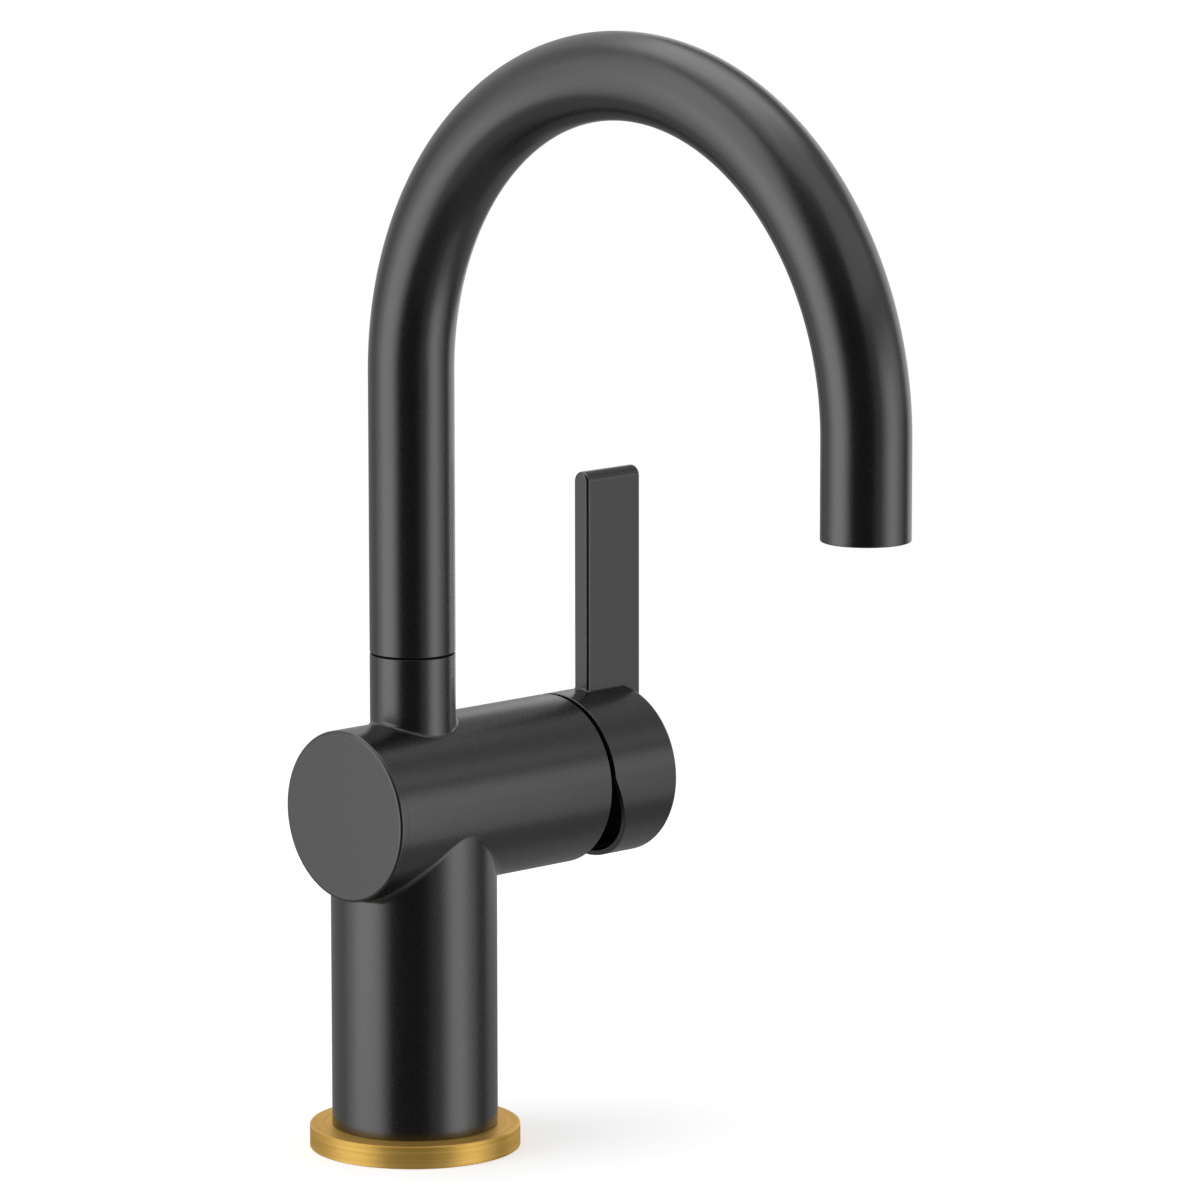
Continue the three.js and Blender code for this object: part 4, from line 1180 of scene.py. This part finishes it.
def curved_card(first, last, low, high, level):
    """A card between two bearings and two elevations, in degrees, seen from the object's middle."""
    steps = max(2, round((last - first) / CARD_STEP))
    heights = [CARD_DISTANCE * math.tan(math.radians(elevation)) for elevation in (low, high)]
    points = []
    for degrees in between(first, last, steps):
        foot = MIDDLE + CARD_DISTANCE * bearing(degrees)
        points += [foot + Vector((0, 0, height)) for height in heights]
    faces = [(2 * k, 2 * k + 2, 2 * k + 3, 2 * k + 1) for k in range(steps)]
    card(f"card_{round(first)}_{round(low)}", points, faces, level)


def level_card(name, elevation, level):
    height = CARD_DISTANCE * math.tan(math.radians(elevation))
    points = []
    for degrees in between(0, 360, LEVEL_CARD_SIDES)[:-1]:
        points.append(MIDDLE + CARD_DISTANCE * bearing(degrees) + Vector((0, 0, height)))
    card(name, points, [tuple(range(LEVEL_CARD_SIDES))], level)


side_box("left_soft_box", LEFT_BOX)
side_box("right_soft_box", RIGHT_BOX)
for k, (behind, size, radiance) in enumerate(TOP_BOX):
    place = MIDDLE + Vector((0, 0, BOX_DISTANCE - k * BOX_STEP)) + behind * bearing(180)
    lamp(f"top_soft_box_{k}", place, Vector((0, 0, 1)), size, size, radiance)
for first, last, low, high, level in CARDS:
    curved_card(first, last, low, high, level)
level_card("ceiling_card", LEVEL_CARD_ELEVATION, CEILING_LEVEL)
level_card("under_card", -LEVEL_CARD_ELEVATION, UNDER_LEVEL)

# Floor: pale, with the object's soft shadow, fading into the white round it

FLOOR_R, FLOOR_FADE = 0.9, 0.4
FLOOR_SIDES = 96
FLOOR_COLOUR = (0.85, 0.85, 0.85)
FLOOR_ROUGHNESS = 0.8
FLOOR_LIFT = 0.45  # how much of its brightness the camera sees whatever falls on it
WORLD_DIFFUSE = 0.5


def pale_floor():
    mesh = bpy.data.meshes.new("floor")
    points = [(x, y, 0) for x, y in circle(0, 0, FLOOR_R, FLOOR_SIDES)]
    mesh.from_pydata(points, [], [tuple(range(FLOOR_SIDES))])
    material, tree = node_material("pale_floor")
    link, new = tree.links.new, tree.nodes.new
    shader, output = tree.nodes["Principled BSDF"], tree.nodes["Material Output"]
    shader.inputs["Base Color"].default_value = (*FLOOR_COLOUR, 1)
    shader.inputs["Roughness"].default_value = FLOOR_ROUGHNESS
    shader.inputs["Specular IOR Level"].default_value = 0.0
    light_path, lift = new("ShaderNodeLightPath"), new("ShaderNodeMath")
    emission, sum_node = new("ShaderNodeEmission"), new("ShaderNodeAddShader")
    lift.operation = "MULTIPLY"
    lift.inputs[1].default_value = FLOOR_LIFT
    link(light_path.outputs["Is Camera Ray"], lift.inputs[0])
    link(lift.outputs["Value"], emission.inputs["Strength"])
    link(shader.outputs["BSDF"], sum_node.inputs[0])
    link(emission.outputs["Emission"], sum_node.inputs[1])
    place, length = new("ShaderNodeTexCoord"), new("ShaderNodeVectorMath")
    fade = new("ShaderNodeMapRange")
    length.operation = "LENGTH"
    fade.interpolation_type = "SMOOTHSTEP"
    fade.inputs["From Min"].default_value = FLOOR_FADE
    fade.inputs["From Max"].default_value = FLOOR_R
    clear, mix = new("ShaderNodeBsdfTransparent"), new("ShaderNodeMixShader")
    link(place.outputs["Object"], length.inputs[0])
    link(length.outputs["Value"], fade.inputs["Value"])
    link(fade.outputs["Result"], mix.inputs["Fac"])
    link(sum_node.outputs["Shader"], mix.inputs[1])
    link(clear.outputs["BSDF"], mix.inputs[2])
    link(mix.outputs["Shader"], output.inputs["Surface"])
    mesh.materials.append(material)
    ground = placed("floor", mesh)
    ground.visible_glossy = False
    ground.visible_shadow = False


def white_world():
    """White where the camera, glossy rays and transmission rays see it, dimmer as a light."""
    world = bpy.data.worlds.new("studio")
    bpy.context.scene.world = world
    world.use_nodes = True
    tree = world.node_tree
    link, new = tree.links.new, tree.nodes.new
    background = tree.nodes["Background"]
    background.inputs["Color"].default_value = (1, 1, 1, 1)
    light_path, level = new("ShaderNodeLightPath"), new("ShaderNodeMapRange")
    first_sum, second_sum = new("ShaderNodeMath"), new("ShaderNodeMath")
    first_sum.operation = second_sum.operation = "ADD"
    level.inputs["To Min"].default_value = WORLD_DIFFUSE
    level.inputs["To Max"].default_value = 1.0
    link(light_path.outputs["Is Camera Ray"], first_sum.inputs[0])
    link(light_path.outputs["Is Glossy Ray"], first_sum.inputs[1])
    link(first_sum.outputs["Value"], second_sum.inputs[0])
    link(light_path.outputs["Is Transmission Ray"], second_sum.inputs[1])
    link(second_sum.outputs["Value"], level.inputs["Value"])
    link(level.outputs["Result"], background.inputs["Strength"])


pale_floor()
white_world()

bpy.context.scene.view_settings.view_transform = "Standard"
